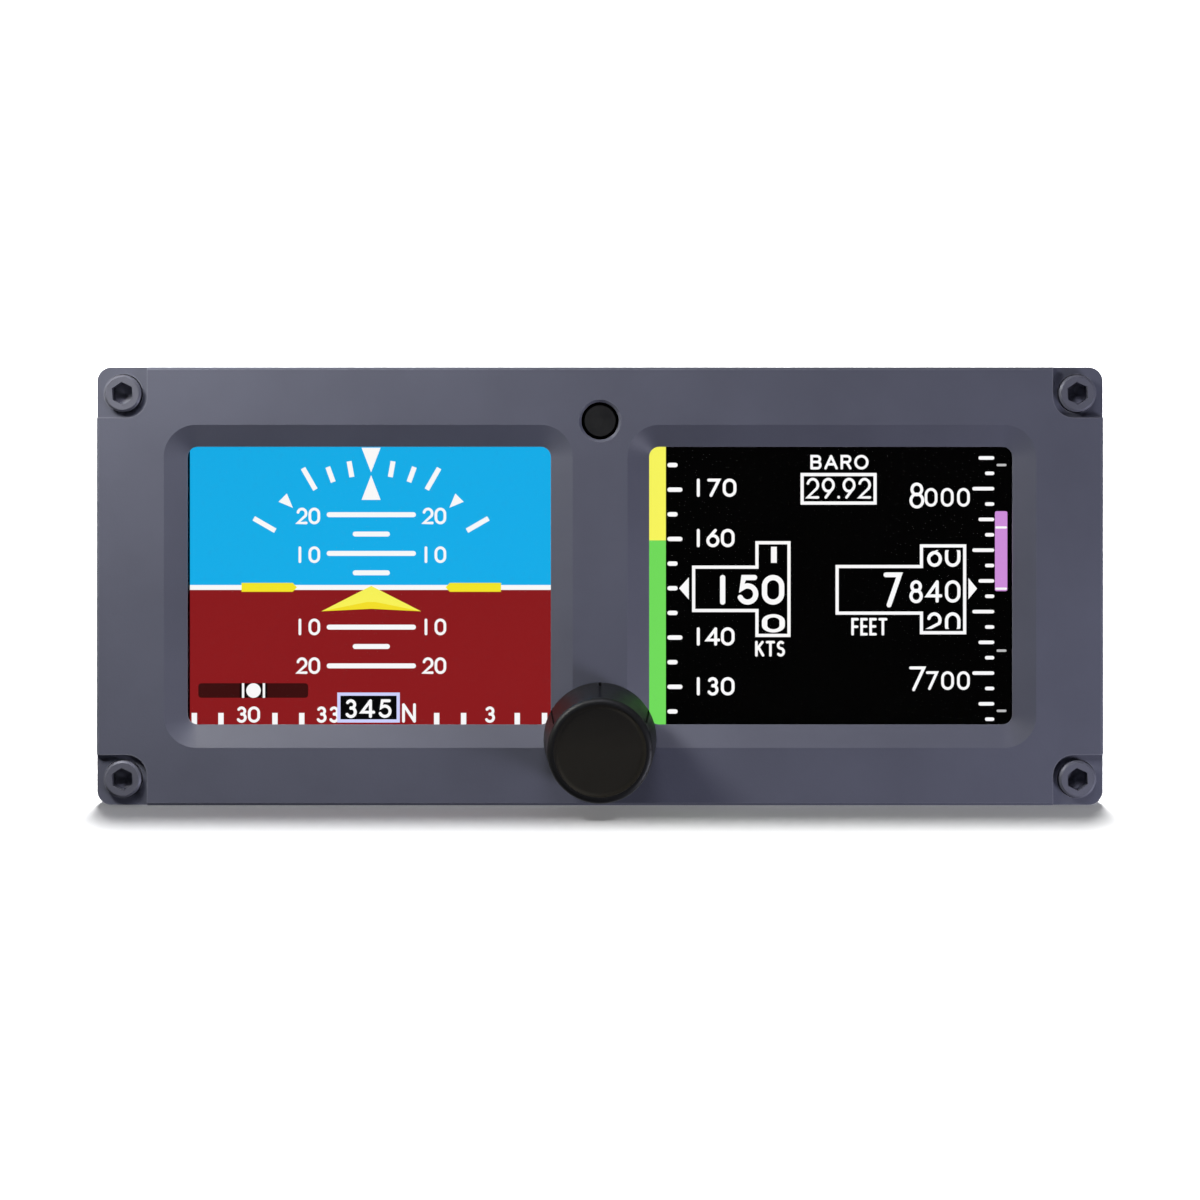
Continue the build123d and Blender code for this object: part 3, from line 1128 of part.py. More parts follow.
def make_power_board_parts():
    """Transformer and filter capacitors of the power supply."""
    bottom = SHELF_HEIGHT + BOARD_THICKNESS
    core = RectangleRounded(TRANSFORMER_SIZE, TRANSFORMER_SIZE, CHIP_THICKNESS)
    parts = [upright(Pos(POWER_BOARD_X, POWER_BOARD_Y) * core, bottom, bottom + TRANSFORMER_HEIGHT)]
    for side in (-1, 1):
        y = POWER_BOARD_Y + side * (TRANSFORMER_SIZE / 2 + CAPACITOR_DIAMETER)
        parts.append(post_column(POWER_BOARD_X, y, CAPACITOR_DIAMETER, bottom, bottom + CAPACITOR_HEIGHT))
    return joined(parts)


def stack_screw(x, y, seat):
    """Pan-head screw driven down into a tall standoff."""
    head = post_column(x, y, STACK_SCREW_HEAD, seat, seat + STACK_SCREW_HEAD_HEIGHT)
    rim = head.edges().filter_by(GeomType.CIRCLE).sort_by(Axis.Z)[-1]
    head = fillet(rim, STACK_SCREW_HEAD_HEIGHT / 2)
    return head + post_column(x, y, STACK_STUD_DIAMETER, SHELF_HEIGHT - STACK_SCREW_REACH, seat)


def make_stack_screws():
    """Screws that hold the cradle and the power board to the tall standoffs."""
    screws = [stack_screw(x, y, SHELF_HEIGHT + BATTERY_FLOOR) for x, y in battery_points()]
    screws += [stack_screw(x, y, SHELF_HEIGHT + BOARD_THICKNESS) for x, y in power_points()]
    return joined(screws)


def cell_axis_height():
    """Height of the battery cells' axes, resting on the cradle's floor."""
    return SHELF_HEIGHT + BATTERY_FLOOR + CELL_DIAMETER / 2


def cell_positions():
    """Depths of the battery cells' axes."""
    pitch = CELL_DIAMETER + CELL_GAP
    return [BATTERY_Y + (index - (CELL_COUNT - 1) / 2) * pitch for index in range(CELL_COUNT)]


def lying_cylinder(y, z, diameter, length):
    """Round bar across the case, centred over the battery cradle."""
    circle = Plane(origin=(BATTERY_X - length / 2, y, z), x_dir=(0, 1, 0), z_dir=(1, 0, 0)) * Circle(diameter / 2)
    return extrude(circle, amount=length)


def make_battery_cells():
    """Backup cells that lie across the case."""
    cells = []
    for y in cell_positions():
        can = lying_cylinder(y, cell_axis_height(), CELL_DIAMETER, CELL_LENGTH)
        tip_length = CELL_LENGTH + 2 * CELL_TIP
        cells.append(can + lying_cylinder(y, cell_axis_height(), CELL_DIAMETER / 3, tip_length))
    return joined(cells)


def make_battery_cradle():
    """Moulded tray with a round trough for each cell and a screw seat at each corner."""
    middle = Pos(BATTERY_X, BATTERY_Y)
    floor_top = SHELF_HEIGHT + BATTERY_FLOOR
    trough_top = floor_top + CELL_DIAMETER / 3
    cradle = upright(
        middle * RectangleRounded(BATTERY_WIDTH, BATTERY_LENGTH, BATTERY_LIP), SHELF_HEIGHT, floor_top)
    trough_width = CELL_LENGTH + 2 * (CELL_FIT + CELL_TIP + BATTERY_LIP)
    trough_length = CELL_COUNT * (CELL_DIAMETER + CELL_GAP)
    cradle += upright(middle * Rectangle(trough_width, trough_length), floor_top, trough_top)
    for y in cell_positions():
        cradle -= lying_cylinder(
            y, cell_axis_height(), CELL_DIAMETER + 2 * CELL_FIT, CELL_LENGTH + 2 * (CELL_FIT + CELL_TIP))
    for x, y in battery_points():
        cradle -= post_column(x, y, STACK_STUD_DIAMETER + 2 * HOLE_CLEARANCE, SHELF_HEIGHT, floor_top)
        cradle -= post_column(x, y, STACK_SCREW_HEAD + 2 * CELL_FIT, floor_top, trough_top)
    return cradle


def inertial_outline(size):
    """Square outline in the middle of the inertial sensor, beside the battery."""
    return Pos(POWER_BOARD_X, INERTIAL_Y) * RectangleRounded(size, size, INERTIAL_RADIUS)


def make_inertial_block():
    """Machined housing of the gyroscopes and accelerometers, open at the top."""
    top = MAIN_BOARD_TOP + INERTIAL_HEIGHT
    body = upright(inertial_outline(INERTIAL_SIZE), MAIN_BOARD_TOP, top)
    inside = inertial_outline(INERTIAL_SIZE - 2 * INERTIAL_WALL)
    return body - upright(inside, MAIN_BOARD_TOP + INERTIAL_FLOOR, top)


def make_inertial_lid():
    """Lid of the inertial sensor."""
    bottom = MAIN_BOARD_TOP + INERTIAL_HEIGHT
    return upright(inertial_outline(INERTIAL_SIZE), bottom, bottom + INERTIAL_WALL)


def make_inertial_sensor():
    """Sensor board with its chips inside the inertial block."""
    floor = MAIN_BOARD_TOP + INERTIAL_FLOOR
    inside = INERTIAL_SIZE - 2 * (INERTIAL_WALL + MODULE_CLEARANCE)
    board = upright(inertial_outline(inside), floor, floor + BOARD_THICKNESS)
    return board + upright(inertial_outline(inside / 2), floor, floor + BOARD_THICKNESS + 2 * CHIP_THICKNESS)


def transducer_y():
    """Depth of the pressure transducers' centres."""
    return CASE_BACK - TRANSDUCER_SETBACK


def make_pressure_transducer(x):
    """Absolute pressure sensor on the main board, with its port on top."""
    half = TRANSDUCER_SIZE / 2
    y = transducer_y()
    body = block(x - half, x + half, y - half, y + half, MAIN_BOARD_TOP, MAIN_BOARD_TOP + TRANSDUCER_HEIGHT)
    body = chamfer(body.edges().filter_by(Axis.Z), HOSE_WALL)
    port = Pos(x, y) * Circle(PORT_BARB_DIAMETER / 2)
    top = MAIN_BOARD_TOP + TRANSDUCER_HEIGHT
    return body + upright(port, top, top + TRANSDUCER_PORT_LENGTH)


def make_air_hose(x):
    """Hose from the inside barb of an air fitting down to its transducer."""
    start = CASE_BACK - PORT_NUT_THICKNESS
    top = MAIN_BOARD_TOP + TRANSDUCER_HEIGHT
    y = transducer_y()
    path = FilletPolyline((x, start, PORT_Z), (x, y, PORT_Z), (x, y, top), radius=HOSE_BEND)
    bore = PORT_BARB_DIAMETER + 2 * HOSE_FIT
    ring = Circle(bore / 2 + HOSE_WALL) - Circle(bore / 2)
    return sweep(Plane(origin=path @ 0, z_dir=path % 0) * ring, path=path)


def make_board_lead():
    """Ribbon lead from the display board down to the main board."""
    front = BOARD_BACK
    half = LEAD_WIDTH / 2
    back = MAIN_BOARD_FRONT + LEAD_SOCKET
    low, high = MAIN_BOARD_TOP, MAIN_BOARD_TOP + FLEX_THICKNESS
    flat = block(LEAD_X - half, LEAD_X + half, front, back, low, high)
    socket_height = LEAD_SOCKET / 2
    front_socket = block(
        LEAD_X - half, LEAD_X + half, front, front + LEAD_SOCKET, low - socket_height, high + socket_height)
    rear_socket = block(
        LEAD_X - half, LEAD_X + half, MAIN_BOARD_FRONT, back, low, high + socket_height)
    return flat + front_socket + rear_socket


def all_parts():
    """Every node of the instrument by name."""
    parts = {"bezel": make_bezel(), "mounting_screws": make_mounting_screws()}
    for name, side in SIDES.items():
        parts["window_glass_" + name] = make_window_glass(side)
        parts["window_gasket_" + name] = make_window_gasket(side)
        parts["display_cell_" + name] = make_display_cell(side)
        parts["backlight_" + name] = make_backlight(side)
        parts["display_tray_" + name] = make_display_tray(side)
        parts["display_flex_" + name] = make_display_flex(side)
    for name, x in zip(("pitot", "static"), port_positions()):
        parts[name + "_fitting"] = make_air_fitting(x)
        parts[name + "_transducer"] = make_pressure_transducer(x)
        parts[name + "_hose"] = make_air_hose(x)
    makers = [
        make_sensor_lens, make_display_board, make_display_board_parts,
        make_display_board_screws, make_knob_body, make_knob_cap, make_knob_set_screw, make_knob_shaft,
        make_encoder_housing, make_encoder_nut, make_encoder_washer, make_detent_wheel, make_detent_spring,
        make_encoder_back_plate, make_push_dome, make_chassis, make_top_cover, make_case_screws,
        make_rear_panel, make_connector_shell,
        make_connector_insulator, make_connector_pins, make_connector_jack_posts, make_port_nuts,
        make_ground_stud, make_ground_nut, make_floor_standoffs, make_stack_standoffs, make_stack_screws,
        make_main_board, make_main_board_parts, make_power_board, make_power_board_parts,
        make_battery_cells, make_battery_cradle, make_inertial_block, make_inertial_lid,
        make_inertial_sensor, make_board_lead]
    for maker in makers:
        parts[maker.__name__.removeprefix("make_")] = maker()
    return parts


os.makedirs("parts", exist_ok=True)
for name, shape in all_parts().items():
    export_step(shape, "parts/" + name + ".step")
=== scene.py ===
import json
import math
from collections import namedtuple

import bmesh
import bpy
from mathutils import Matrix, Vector


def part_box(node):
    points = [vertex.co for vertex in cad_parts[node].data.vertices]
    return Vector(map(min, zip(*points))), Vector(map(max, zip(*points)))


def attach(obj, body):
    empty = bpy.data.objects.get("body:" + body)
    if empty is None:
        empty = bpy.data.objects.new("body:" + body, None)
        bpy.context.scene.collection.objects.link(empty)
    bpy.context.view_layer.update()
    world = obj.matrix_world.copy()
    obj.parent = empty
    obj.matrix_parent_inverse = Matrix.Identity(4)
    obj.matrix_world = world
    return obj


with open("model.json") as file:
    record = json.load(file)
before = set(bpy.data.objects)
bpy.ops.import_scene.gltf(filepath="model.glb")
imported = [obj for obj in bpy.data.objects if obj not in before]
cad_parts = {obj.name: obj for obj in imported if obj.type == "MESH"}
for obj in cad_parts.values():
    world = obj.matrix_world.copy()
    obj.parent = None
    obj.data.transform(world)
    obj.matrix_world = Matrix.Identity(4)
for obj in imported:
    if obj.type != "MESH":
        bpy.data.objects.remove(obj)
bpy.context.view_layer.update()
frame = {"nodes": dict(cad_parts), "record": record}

# Standby attitude indicator: the finishes of every part, the pictures on its
# two displays, and a plain white studio. Lengths are metres, except that the
# display pictures are drawn in millimetres from the middle of each picture,
# x to the right and z up.

MM = 0.001
Box = namedtuple("Box", "left right bottom top")

# Camera
CAMERA_DISTANCE = 0.370
CAMERA_HEIGHT = 0.018
VIEW_WIDTH = 0.1664
OBJECT_RISE = 0.0019
SENSOR_WIDTH = 36.0
CLIP_START = 0.01

# Studio: a white bowl whose middle is lit and whose rim glows
BOWL_RADIUS = 2.4
BOWL_CORNER = 0.8
BOWL_HEIGHT = 2.6
BOWL_STEPS = 72
BOWL_MERGE = 1e-5
GLOW_START = 0.12
GLOW_END = 0.80
GLOW_LEAST = 0.15
WORLD_FRONT = 0.01
WORLD_REAR = 0.55
WORLD_CHANGE_START = -0.3
WORLD_CHANGE_END = 1.0
WORLD_TINT = (0.94, 0.97, 1.06)
KEY_POWER = 0.275
KEY_SIZE = 0.06
KEY_PLACE = (-0.125, -0.090, 0.120)
KEY_TINT = (1.02, 1.02, 0.98)
FILL_POWER = 0.25
FILL_SIZE = 0.08
FILL_PLACE = (0.200, -0.110, -0.110)
FILL_TINT = (0.98, 0.98, 1.16)
FRONT_POWER = 0.52
FRONT_SIZE = 0.20
FRONT_PLACE = (0.0, -0.300, 0.400)
FRONT_TINT = FILL_TINT
FLOOR_POWER = 1350.0
FLOOR_SIZE = (2.0, 4.6)
FLOOR_PLACE = (0.0, 3.20, 6.00)
REAR_POWER = 6.0
REAR_SIZE = 0.5
REAR_PLACES = ((0.55, 0.75, 0.45), (-0.55, 0.75, 0.45))

# Display pictures: layers from the front of the display cells towards the glass.
# Each picture is scaled a little, moved towards the knob and lowered.
LAYER_STEP = 0.03
PICTURE_WIDTH = 51.5
PICTURE_HEIGHT = 39.5
PICTURE_SCALE = 0.9915
PICTURE_INSET = 0.26
PICTURE_DROP = 0.19
HALF_WIDTH = PICTURE_WIDTH / 2
HALF_HEIGHT = PICTURE_HEIGHT / 2
ARC_STEP = 12
MITRE_LIMIT = 0.5
SAME_POINT = 1e-4

# Attitude picture
MARK_WIDTH = 0.70
HORIZON_Z = -0.15
ROLL_CENTRE_X = -0.16
ROLL_CENTRE_Z = 0.05
ROLL_RADIUS = 15.63
ROLL_SHORT_TICK = 2.26
ROLL_LONG_TICK = 3.50
ROLL_THIRTY_RISE = 0.10
ROLL_TRIANGLE_ANGLE = 45
ROLL_TRIANGLE_HEIGHT = 2.05
ROLL_TRIANGLE_HALF_ANGLE = 2.7
ROLL_POINTER_Z = 15.90
ROLL_POINTER_HALF_WIDTH = 1.34
ROLL_POINTER_HEIGHT = 3.48
ROLL_POINTER_GAP = 0.20
LADDER_ABOVE_Z = -0.81
LADDER_BELOW_Z = -0.28
LADDER_PER_DEGREE = 0.547
LADDER_X = -0.13
LADDER_LONG_HALF = 5.95
LADDER_SHORT_HALF = 2.27
LADDER_NUMBER_X = 8.90
LADDER_NUMBER_WIDTH = 3.36
LADDER_NUMBER_HEIGHT = 2.35
LADDER_NUMBER_STROKE = 0.38
LADDER_NUMBER_NARROW = 0.92
LADDER_NUMBER_DROP = 0.18
LADDER_NUMBER_RISE_BELOW = 0.21
WING_INNER = 10.49
WING_OUTER = 18.32
WING_SHOULDER = 0.60
WING_TOP = 0.50
WING_BOTTOM = -0.76
DELTA_HALF_WIDTH = 7.04
DELTA_TOP = 0.08
DELTA_CORNER_Z = -3.51
DELTA_MIDDLE_Z = -3.16
DELTA_FOLD_Z = -2.20
DELTA_FOLD_HALF_WIDTH = 0.60
SLIP_LEFT = -24.56
SLIP_RIGHT = -9.05
SLIP_Z = -14.70
SLIP_HALF_HEIGHT = 1.03
SLIP_BOTTOM = SLIP_Z - SLIP_HALF_HEIGHT
SLIP_TOP = SLIP_Z + SLIP_HALF_HEIGHT
SLIP_CORNER = 0.45
SLIP_BALL_X = -16.76
SLIP_BALL_END_ANGLE = 348
SLIP_BAR_OFFSET = 1.47
SLIP_BAR_WIDTH = 0.33
SLIP_DARK_HALF = 1.95
HEADING_TICK_X = (-25.12, -21.36, -13.74, -9.95, 9.10, 12.90, 20.48, 24.33)
HEADING_TICK_TOP = -17.86
HEADING_TICK_WIDTH = 0.76
HEADING_NUMBER_TOP = -16.95
HEADING_NUMBER_BOTTOM = -19.24
HEADING_NUMBER_STROKE = 0.39
HEADING_THIRTY_ENDS = (-19.20, -15.84)
HEADING_THIRTY_THREE_ENDS = (-7.92, -4.60)
HEADING_THREE_ENDS = (15.86, 17.40)
NORTH_BOX = Box(left=4.22, right=6.49, bottom=HEADING_NUMBER_BOTTOM, top=-16.50)
NORTH_STROKE = 0.40
HEADING_FRAME = Box(left=-4.93, right=3.90, bottom=-19.22, top=-14.98)
HEADING_FRAME_WIDTH = 0.45
HEADING_DIGIT_BOX = Box(left=-3.86, right=2.76, bottom=-18.56, top=-15.92)
HEADING_DIGIT_STROKE = 0.43

# Air data picture
LINE_WIDTH = 0.45
BAND_RIGHT = -22.86
BAND_CHANGE_Z = 6.5
SPEED_TICK_LEFT = -22.65
SPEED_TICK_SHORT = 1.45
SPEED_TICK_LONG = 2.13
SPEED_TICK_PITCH = 3.48
SPEED_TICK_WIDTH = 0.62
SPEED_TICKS_EACH_WAY = 5
SPEED_NUMBERED_TICKS = (-4, -2, 2, 4)
SPEED_ZERO_Z = -0.26
SPEED_NUMBER_LEFT = -18.86
SPEED_NUMBER_RIGHT = -13.16
SPEED_TOP_NUMBER_RIGHT = -12.90
SPEED_NUMBER_HEIGHT = 2.58
SPEED_NUMBER_STROKE = 0.42
SPEED_NUMBERS = (
    ("170", SPEED_TOP_NUMBER_RIGHT, 13.93),
    ("160", SPEED_NUMBER_RIGHT, 6.83),
    ("140", SPEED_NUMBER_RIGHT, -7.07),
    ("130", SPEED_NUMBER_RIGHT, -14.10),
)
SPEED_DRUM = Box(left=-10.00, right=-5.48, bottom=-6.92, top=6.17)
SPEED_COUNTER = Box(left=-18.94, right=SPEED_DRUM.left, bottom=-3.40, top=2.72)
SPEED_POINTER = Box(left=-21.00, right=-19.62, bottom=-1.85, top=1.29)
SPEED_DIGIT_BOX = Box(left=-15.80, right=-6.14, bottom=-2.58, top=1.62)
SPEED_UPPER_DIGIT_BOX = Box(left=-8.02, right=-7.20, bottom=3.33, top=5.60)
SPEED_LOWER_DIGIT_BOX = Box(left=-9.30, right=-6.18, bottom=-6.50, top=-3.92)
SPEED_LOWER_DIGIT_DRUM = 0.6
ALTITUDE_TICK_RIGHT = 23.51
ALTITUDE_TICK_PITCH = 2.17
ALTITUDE_TICK_WIDTH = 0.50
ALTITUDE_TICK_LENGTHS = (3.10, 1.31, 2.23, 1.31)
ALTITUDE_TICKS_BELOW = 7
ALTITUDE_TICKS_ABOVE = 10
ALTITUDE_LONG_Z = -3.56
ALTITUDE_NUMBER_LEFT = 11.50
ALTITUDE_NUMBER_SPLIT = 13.54
ALTITUDE_NUMBER_RIGHT = 20.06
ALTITUDE_SMALL_NUMBER_RISE = 0.16
ALTITUDE_SMALL_NUMBER_TOP = 2.80
EIGHT_THOUSAND_BOTTOM = 11.10
EIGHT_THOUSAND_TOP = 14.66
EIGHT_THOUSAND_REST_LEFT = 13.68
SEVEN_THOUSAND_BOTTOM = -14.78
SEVEN_THOUSAND_TOP = -11.30
SEVEN_THOUSAND_REST_LEFT = 13.86
ALTITUDE_DRUM = Box(left=13.23, right=19.33, bottom=-6.54, top=5.72)
ALTITUDE_COUNTER = Box(left=1.32, right=ALTITUDE_DRUM.left, bottom=-3.77, top=2.81)
ALTITUDE_POINTER = Box(left=19.86, right=21.08, bottom=-1.81, top=1.19)
ALTITUDE_POINTER_Z = -0.31
ALTITUDE_FIRST_DIGIT_BOX = Box(left=7.88, right=10.42, bottom=-2.96, top=1.98)
ALTITUDE_DIGIT_BOX = Box(left=11.50, right=18.74, bottom=-2.29, top=0.87)
ALTITUDE_UPPER_BOX = Box(left=14.00, right=18.74, bottom=2.76, top=5.92)
ALTITUDE_LOWER_BOX = Box(left=14.00, right=18.74, bottom=-6.81, top=-3.65)
ALTITUDE_DRUM_CUT_TOP = 5.12
ALTITUDE_DRUM_CUT_BOTTOM = -6.00
KNOTS_BOX = Box(left=-10.26, right=-6.03, bottom=-9.91, top=-7.68)
FEET_BOX = Box(left=3.32, right=8.42, bottom=-6.93, top=-4.45)
UNIT_STROKE = 0.37
BARO_BOX = Box(left=-2.46, right=5.76, bottom=16.51, top=18.57)
PRESSURE_BOX = Box(left=-3.04, right=6.12, bottom=12.38, top=15.34)
PRESSURE_FRAME = Box(left=-3.62, right=6.68, bottom=11.77, top=15.80)
TREND_BAR = Box(left=23.61, right=25.36, bottom=-0.66, top=10.62)
TREND_CORNER = 0.25
TREND_LINE_Z = (8.33, -0.32)
TREND_LINE_WIDTH = 0.32
TREND_LINE_INSET = 0.20
TREND_TICK_Z = (17.14, -9.07, -17.57)
TREND_TICK_WIDTH = 0.34
TREND_TICK_LEFT = 24.01
TREND_TICK_RIGHT = 25.06

# Patterns and reliefs of the finishes
PAINT_MOTTLE = 0.012
PAINT_SHEEN_PATCH = 0.0016
PAINT_PEEL = 0.00035
PAINT_PEEL_HEIGHT = 0.000012
# Width of the paler edges: partly wear, partly painted highlight.
PAINT_WEAR_AND_HIGHLIGHT_EDGE = 0.0003
METAL_MARK = 0.0004
METAL_MARK_STRETCH = 0.12
METAL_MARK_HEIGHT = 0.000008
METAL_DULLING = 0.004
PLASTIC_FLOW = 0.008
PLASTIC_SHEEN_PATCH = 0.001
PLASTIC_GRAIN = 0.0003
PLASTIC_GRAIN_HEIGHT = 0.00001
FOAM_PIT = 0.0005
FOAM_PIT_DEPTH = 0.00006
RUBBER_BLOOM = 0.003
RUBBER_GRAIN = 0.0004
RUBBER_GRAIN_HEIGHT = 0.00001
TRACK_LENGTH = 0.0062
TRACK_PITCH = 0.0013
TRACK_WIDTH = 0.00014
TRACK_HEIGHT = 0.00003
VIA_PITCH = 0.0024
MASK_PATCH = 0.01
EPOXY_SPECK = 0.00025
EPOXY_SPECK_HEIGHT = 0.000012
RIBBON_BANDS_SCALE = 320.0
RIBBON_LINE_HEIGHT = 0.00002
SLEEVE_WRINKLE = 0.003
SLEEVE_WRINKLE_HEIGHT = 0.00006
GUIDE_DOT = 0.0009
GUIDE_DOT_HEIGHT = 0.00002
GLASS_PATCH = 0.02
GLOW_PATCH = 0.05
DARK_PATCH = 0.03
SMOKE_PATCH = 0.002
PAPER_PATCH = 0.02

WHITE = (1.0, 1.0, 1.0, 1.0)
BLACK = (0.0, 0.0, 0.0, 1.0)


# Flat drawing


def arc(x, z, radius, start, end):
    """Points of an arc round (x, z), from one angle to the other in degrees."""
    count = max(3, round(abs(end - start) / ARC_STEP))
    points = []
    for step in range(count + 1):
        angle = math.radians(start + (end - start) * step / count)
        points.append((x + radius * math.cos(angle), z + radius * math.sin(angle)))
    return points


def rectangle(left, right, bottom, top):
    """The corners of a rectangle."""
    return [(left, bottom), (right, bottom), (right, top), (left, top)]


def rounded_rectangle(left, right, bottom, top, radius):
    """The outline of a rectangle with round corners."""
    return (
        arc(right - radius, top - radius, radius, 0, 90)
        + arc(left + radius, top - radius, radius, 90, 180)
        + arc(left + radius, bottom + radius, radius, 180, 270)
        + arc(right - radius, bottom + radius, radius, 270, 360)
    )


def polar(x, z, radius, angle):
    """The point at a radius and an angle in degrees round (x, z)."""
    turn = math.radians(angle)
    return (x + radius * math.cos(turn), z + radius * math.sin(turn))


def glyph(letter):
    """The width and the strokes of a character one unit high, drawn along the middle of each stroke."""
    shapes = {
        "0": (0.70, [arc(0.35, 0.65, 0.35, 0, 180) + arc(0.35, 0.35, 0.35, 180, 360) + [(0.70, 0.65)]]),
        "1": (0.50, [[(0.17, 0), (0.17, 1)]]),
        "2": (0.66, [arc(0.33, 0.68, 0.32, 165, -35) + [(0, 0), (0.66, 0)]]),
        "3": (0.60, [arc(0.29, 0.76, 0.24, 150, -90), arc(0.29, 0.27, 0.28, 90, -150)]),
        "4": (0.76, [[(0.56, 0), (0.56, 1)], [(0.56, 1), (0, 0.27), (0.76, 0.27)]]),
        "5": (0.68, [[(0.62, 1), (0.18, 1), (0.10, 0.56)] + arc(0.34, 0.33, 0.33, 125, -155)]),
        "6": (0.68, [[(0.50, 1), (0.05, 0.48)], arc(0.34, 0.33, 0.33, 0, 360)]),
        "7": (0.66, [[(0, 1), (0.66, 1), (0.15, 0)]]),
        "8": (0.60, [arc(0.30, 0.76, 0.24, 0, 360), arc(0.30, 0.26, 0.29, 0, 360)]),
        "9": (0.68, [[(0.18, 0), (0.63, 0.52)], arc(0.34, 0.67, 0.33, 0, 360)]),
        ".": (0.0, [[(0, 0), (0, 0.02)]]),
        "A": (0.94, [[(0, 0), (0.47, 1)], [(0.47, 1), (0.94, 0)], [(0.16, 0.33), (0.78, 0.33)]]),
        "B": (0.74, [
            [(0, 0), (0, 1)] + arc(0.46, 0.76, 0.24, 90, -90) + [(0, 0.52)],
            [(0, 0)] + arc(0.48, 0.26, 0.26, -90, 90),
        ]),
        "E": (0.44, [[(0.44, 1), (0, 1), (0, 0), (0.44, 0)], [(0, 0.52), (0.40, 0.52)]]),
        "F": (0.44, [[(0.44, 1), (0, 1), (0, 0)], [(0, 0.50), (0.40, 0.50)]]),
        "K": (0.58, [[(0, 0), (0, 1)], [(0.52, 1), (0, 0.40)], [(0.18, 0.60), (0.58, 0)]]),
        "N": (0.66, [[(0, 0), (0, 1)], [(0, 1), (0.66, 0)], [(0.66, 0), (0.66, 1)]]),
        "O": (1.0, [arc(0.5, 0.5, 0.5, 0, 360)]),
        "R": (0.72, [
            [(0, 0), (0, 1)] + arc(0.45, 0.75, 0.25, 90, -90) + [(0, 0.50)],
            [(0.40, 0.50), (0.72, 0)],
        ]),
        "S": (0.52, [arc(0.27, 0.76, 0.24, 50, 270), arc(0.25, 0.26, 0.26, 90, -140)]),
        "T": (0.58, [[(0, 1), (0.58, 1)], [(0.29, 1), (0.29, 0)]]),
    }
    return shapes[letter]


class Drawing:
    """Flat marks of one colour on one layer of a display."""

    def __init__(self, name, side, layer):
        self.name = name
        low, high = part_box("window_glass_" + side)
        cell_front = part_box("display_cell_" + side)[0].y
        self.middle = (low + high) / 2
        self.middle.x -= math.copysign(PICTURE_INSET, self.middle.x) * MM
        self.middle.z -= PICTURE_DROP * MM
        self.y = cell_front - layer * LAYER_STEP * MM
        self.mesh = bmesh.new()

    def fill(self, points):
        """A filled outline."""
        self.mesh.faces.new([self.mesh.verts.new((x, 0, z)) for x, z in points])

    def line(self, points, width, round_ends=True):
        """A stroke of constant width along the points, closed where the last point meets the first."""
        path = [Vector(point) for point in points]
        closed = len(path) > 2 and (path[0] - path[-1]).length < SAME_POINT
        if closed:
            path.pop()
        left = []
        right = []
        for index, point in enumerate(path):
            before = path[index - 1] if closed or index > 0 else None
            after = path[(index + 1) % len(path)] if closed or index + 1 < len(path) else None
            ahead = (after - point) if after is not None else (point - before)
            behind = (point - before) if before is not None else ahead
            ahead.normalize()
            behind = behind.normalized()
            along = (ahead + behind).normalized()
            across = Vector((-along.y, along.x)) * (width / 2 / max(along.dot(ahead), MITRE_LIMIT))
            left.append(point + across)
            right.append(point - across)
        pairs = list(zip(left, right))
        if closed:
            pairs.append(pairs[0])
        for (left_a, right_a), (left_b, right_b) in zip(pairs, pairs[1:]):
            self.fill([right_a, right_b, left_b, left_a])
        if round_ends and not closed:
            for end, next_point in ((path[0], path[1]), (path[-1], path[-2])):
                back = end - next_point
                heading = math.degrees(math.atan2(back.y, back.x))
                self.fill(arc(end.x, end.y, width / 2, heading - 90, heading + 90))

    def text(self, words, box, stroke, narrow=1.0, drum=1.0, below=None, above=None):
        """Characters that fill the box, drawn with a stroke of that width.
        A narrow of less than 1 makes the letters slimmer, a drum of less than 1
        squeezes them as the turning drums of a counter do,
        and below or above cuts them off where a frame hides the rest."""
        start = len(self.mesh.verts)
        height = (box.top - box.bottom) / drum - stroke
        widths = [glyph(letter)[0] * narrow * height + stroke for letter in words]
        gap = (box.right - box.left - sum(widths)) / max(1, len(words) - 1)
        x = box.left
        for letter, wide in zip(words, widths):
            for points in glyph(letter)[1]:
                path = []
                for px, pz in points:
                    path.append((x + stroke / 2 + px * narrow * height, stroke / 2 + pz * height))
                self.line(path, stroke)
            x += wide + gap
        self.mesh.verts.ensure_lookup_table()
        for vertex in self.mesh.verts[start:]:
            vertex.co.z = box.bottom + vertex.co.z * drum
        if below is not None:
            for vertex in self.mesh.verts[start:]:
                vertex.co.z = min(vertex.co.z, below)
        if above is not None:
            for vertex in self.mesh.verts[start:]:
                vertex.co.z = max(vertex.co.z, above)

    def place(self, material):
        """Turns the marks into a piece that rides on the housing, facing the glass."""
        for vertex in self.mesh.verts:
            vertex.co = Vector((
                self.middle.x + vertex.co.x * PICTURE_SCALE * MM,
                self.y,
                self.middle.z + vertex.co.z * PICTURE_SCALE * MM,
            ))
        self.mesh.normal_update()
        for face in self.mesh.faces:
            if face.normal.y > 0:
                face.normal_flip()
        data = bpy.data.meshes.new(self.name)
        self.mesh.to_mesh(data)
        self.mesh.free()
        piece = bpy.data.objects.new(self.name, data)
        bpy.context.scene.collection.objects.link(piece)
        data.materials.append(material)
        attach(piece, "housing")


# Materials


def linear(red, green, blue):
    """A colour given as it shows on a screen, 0 to 255, as Blender's linear values."""
    values = []
    for part in (red, green, blue):
        value = part / 255
        values.append(value / 12.92 if value <= 0.04045 else ((value + 0.055) / 1.055) ** 2.4)
    return (*values, 1.0)


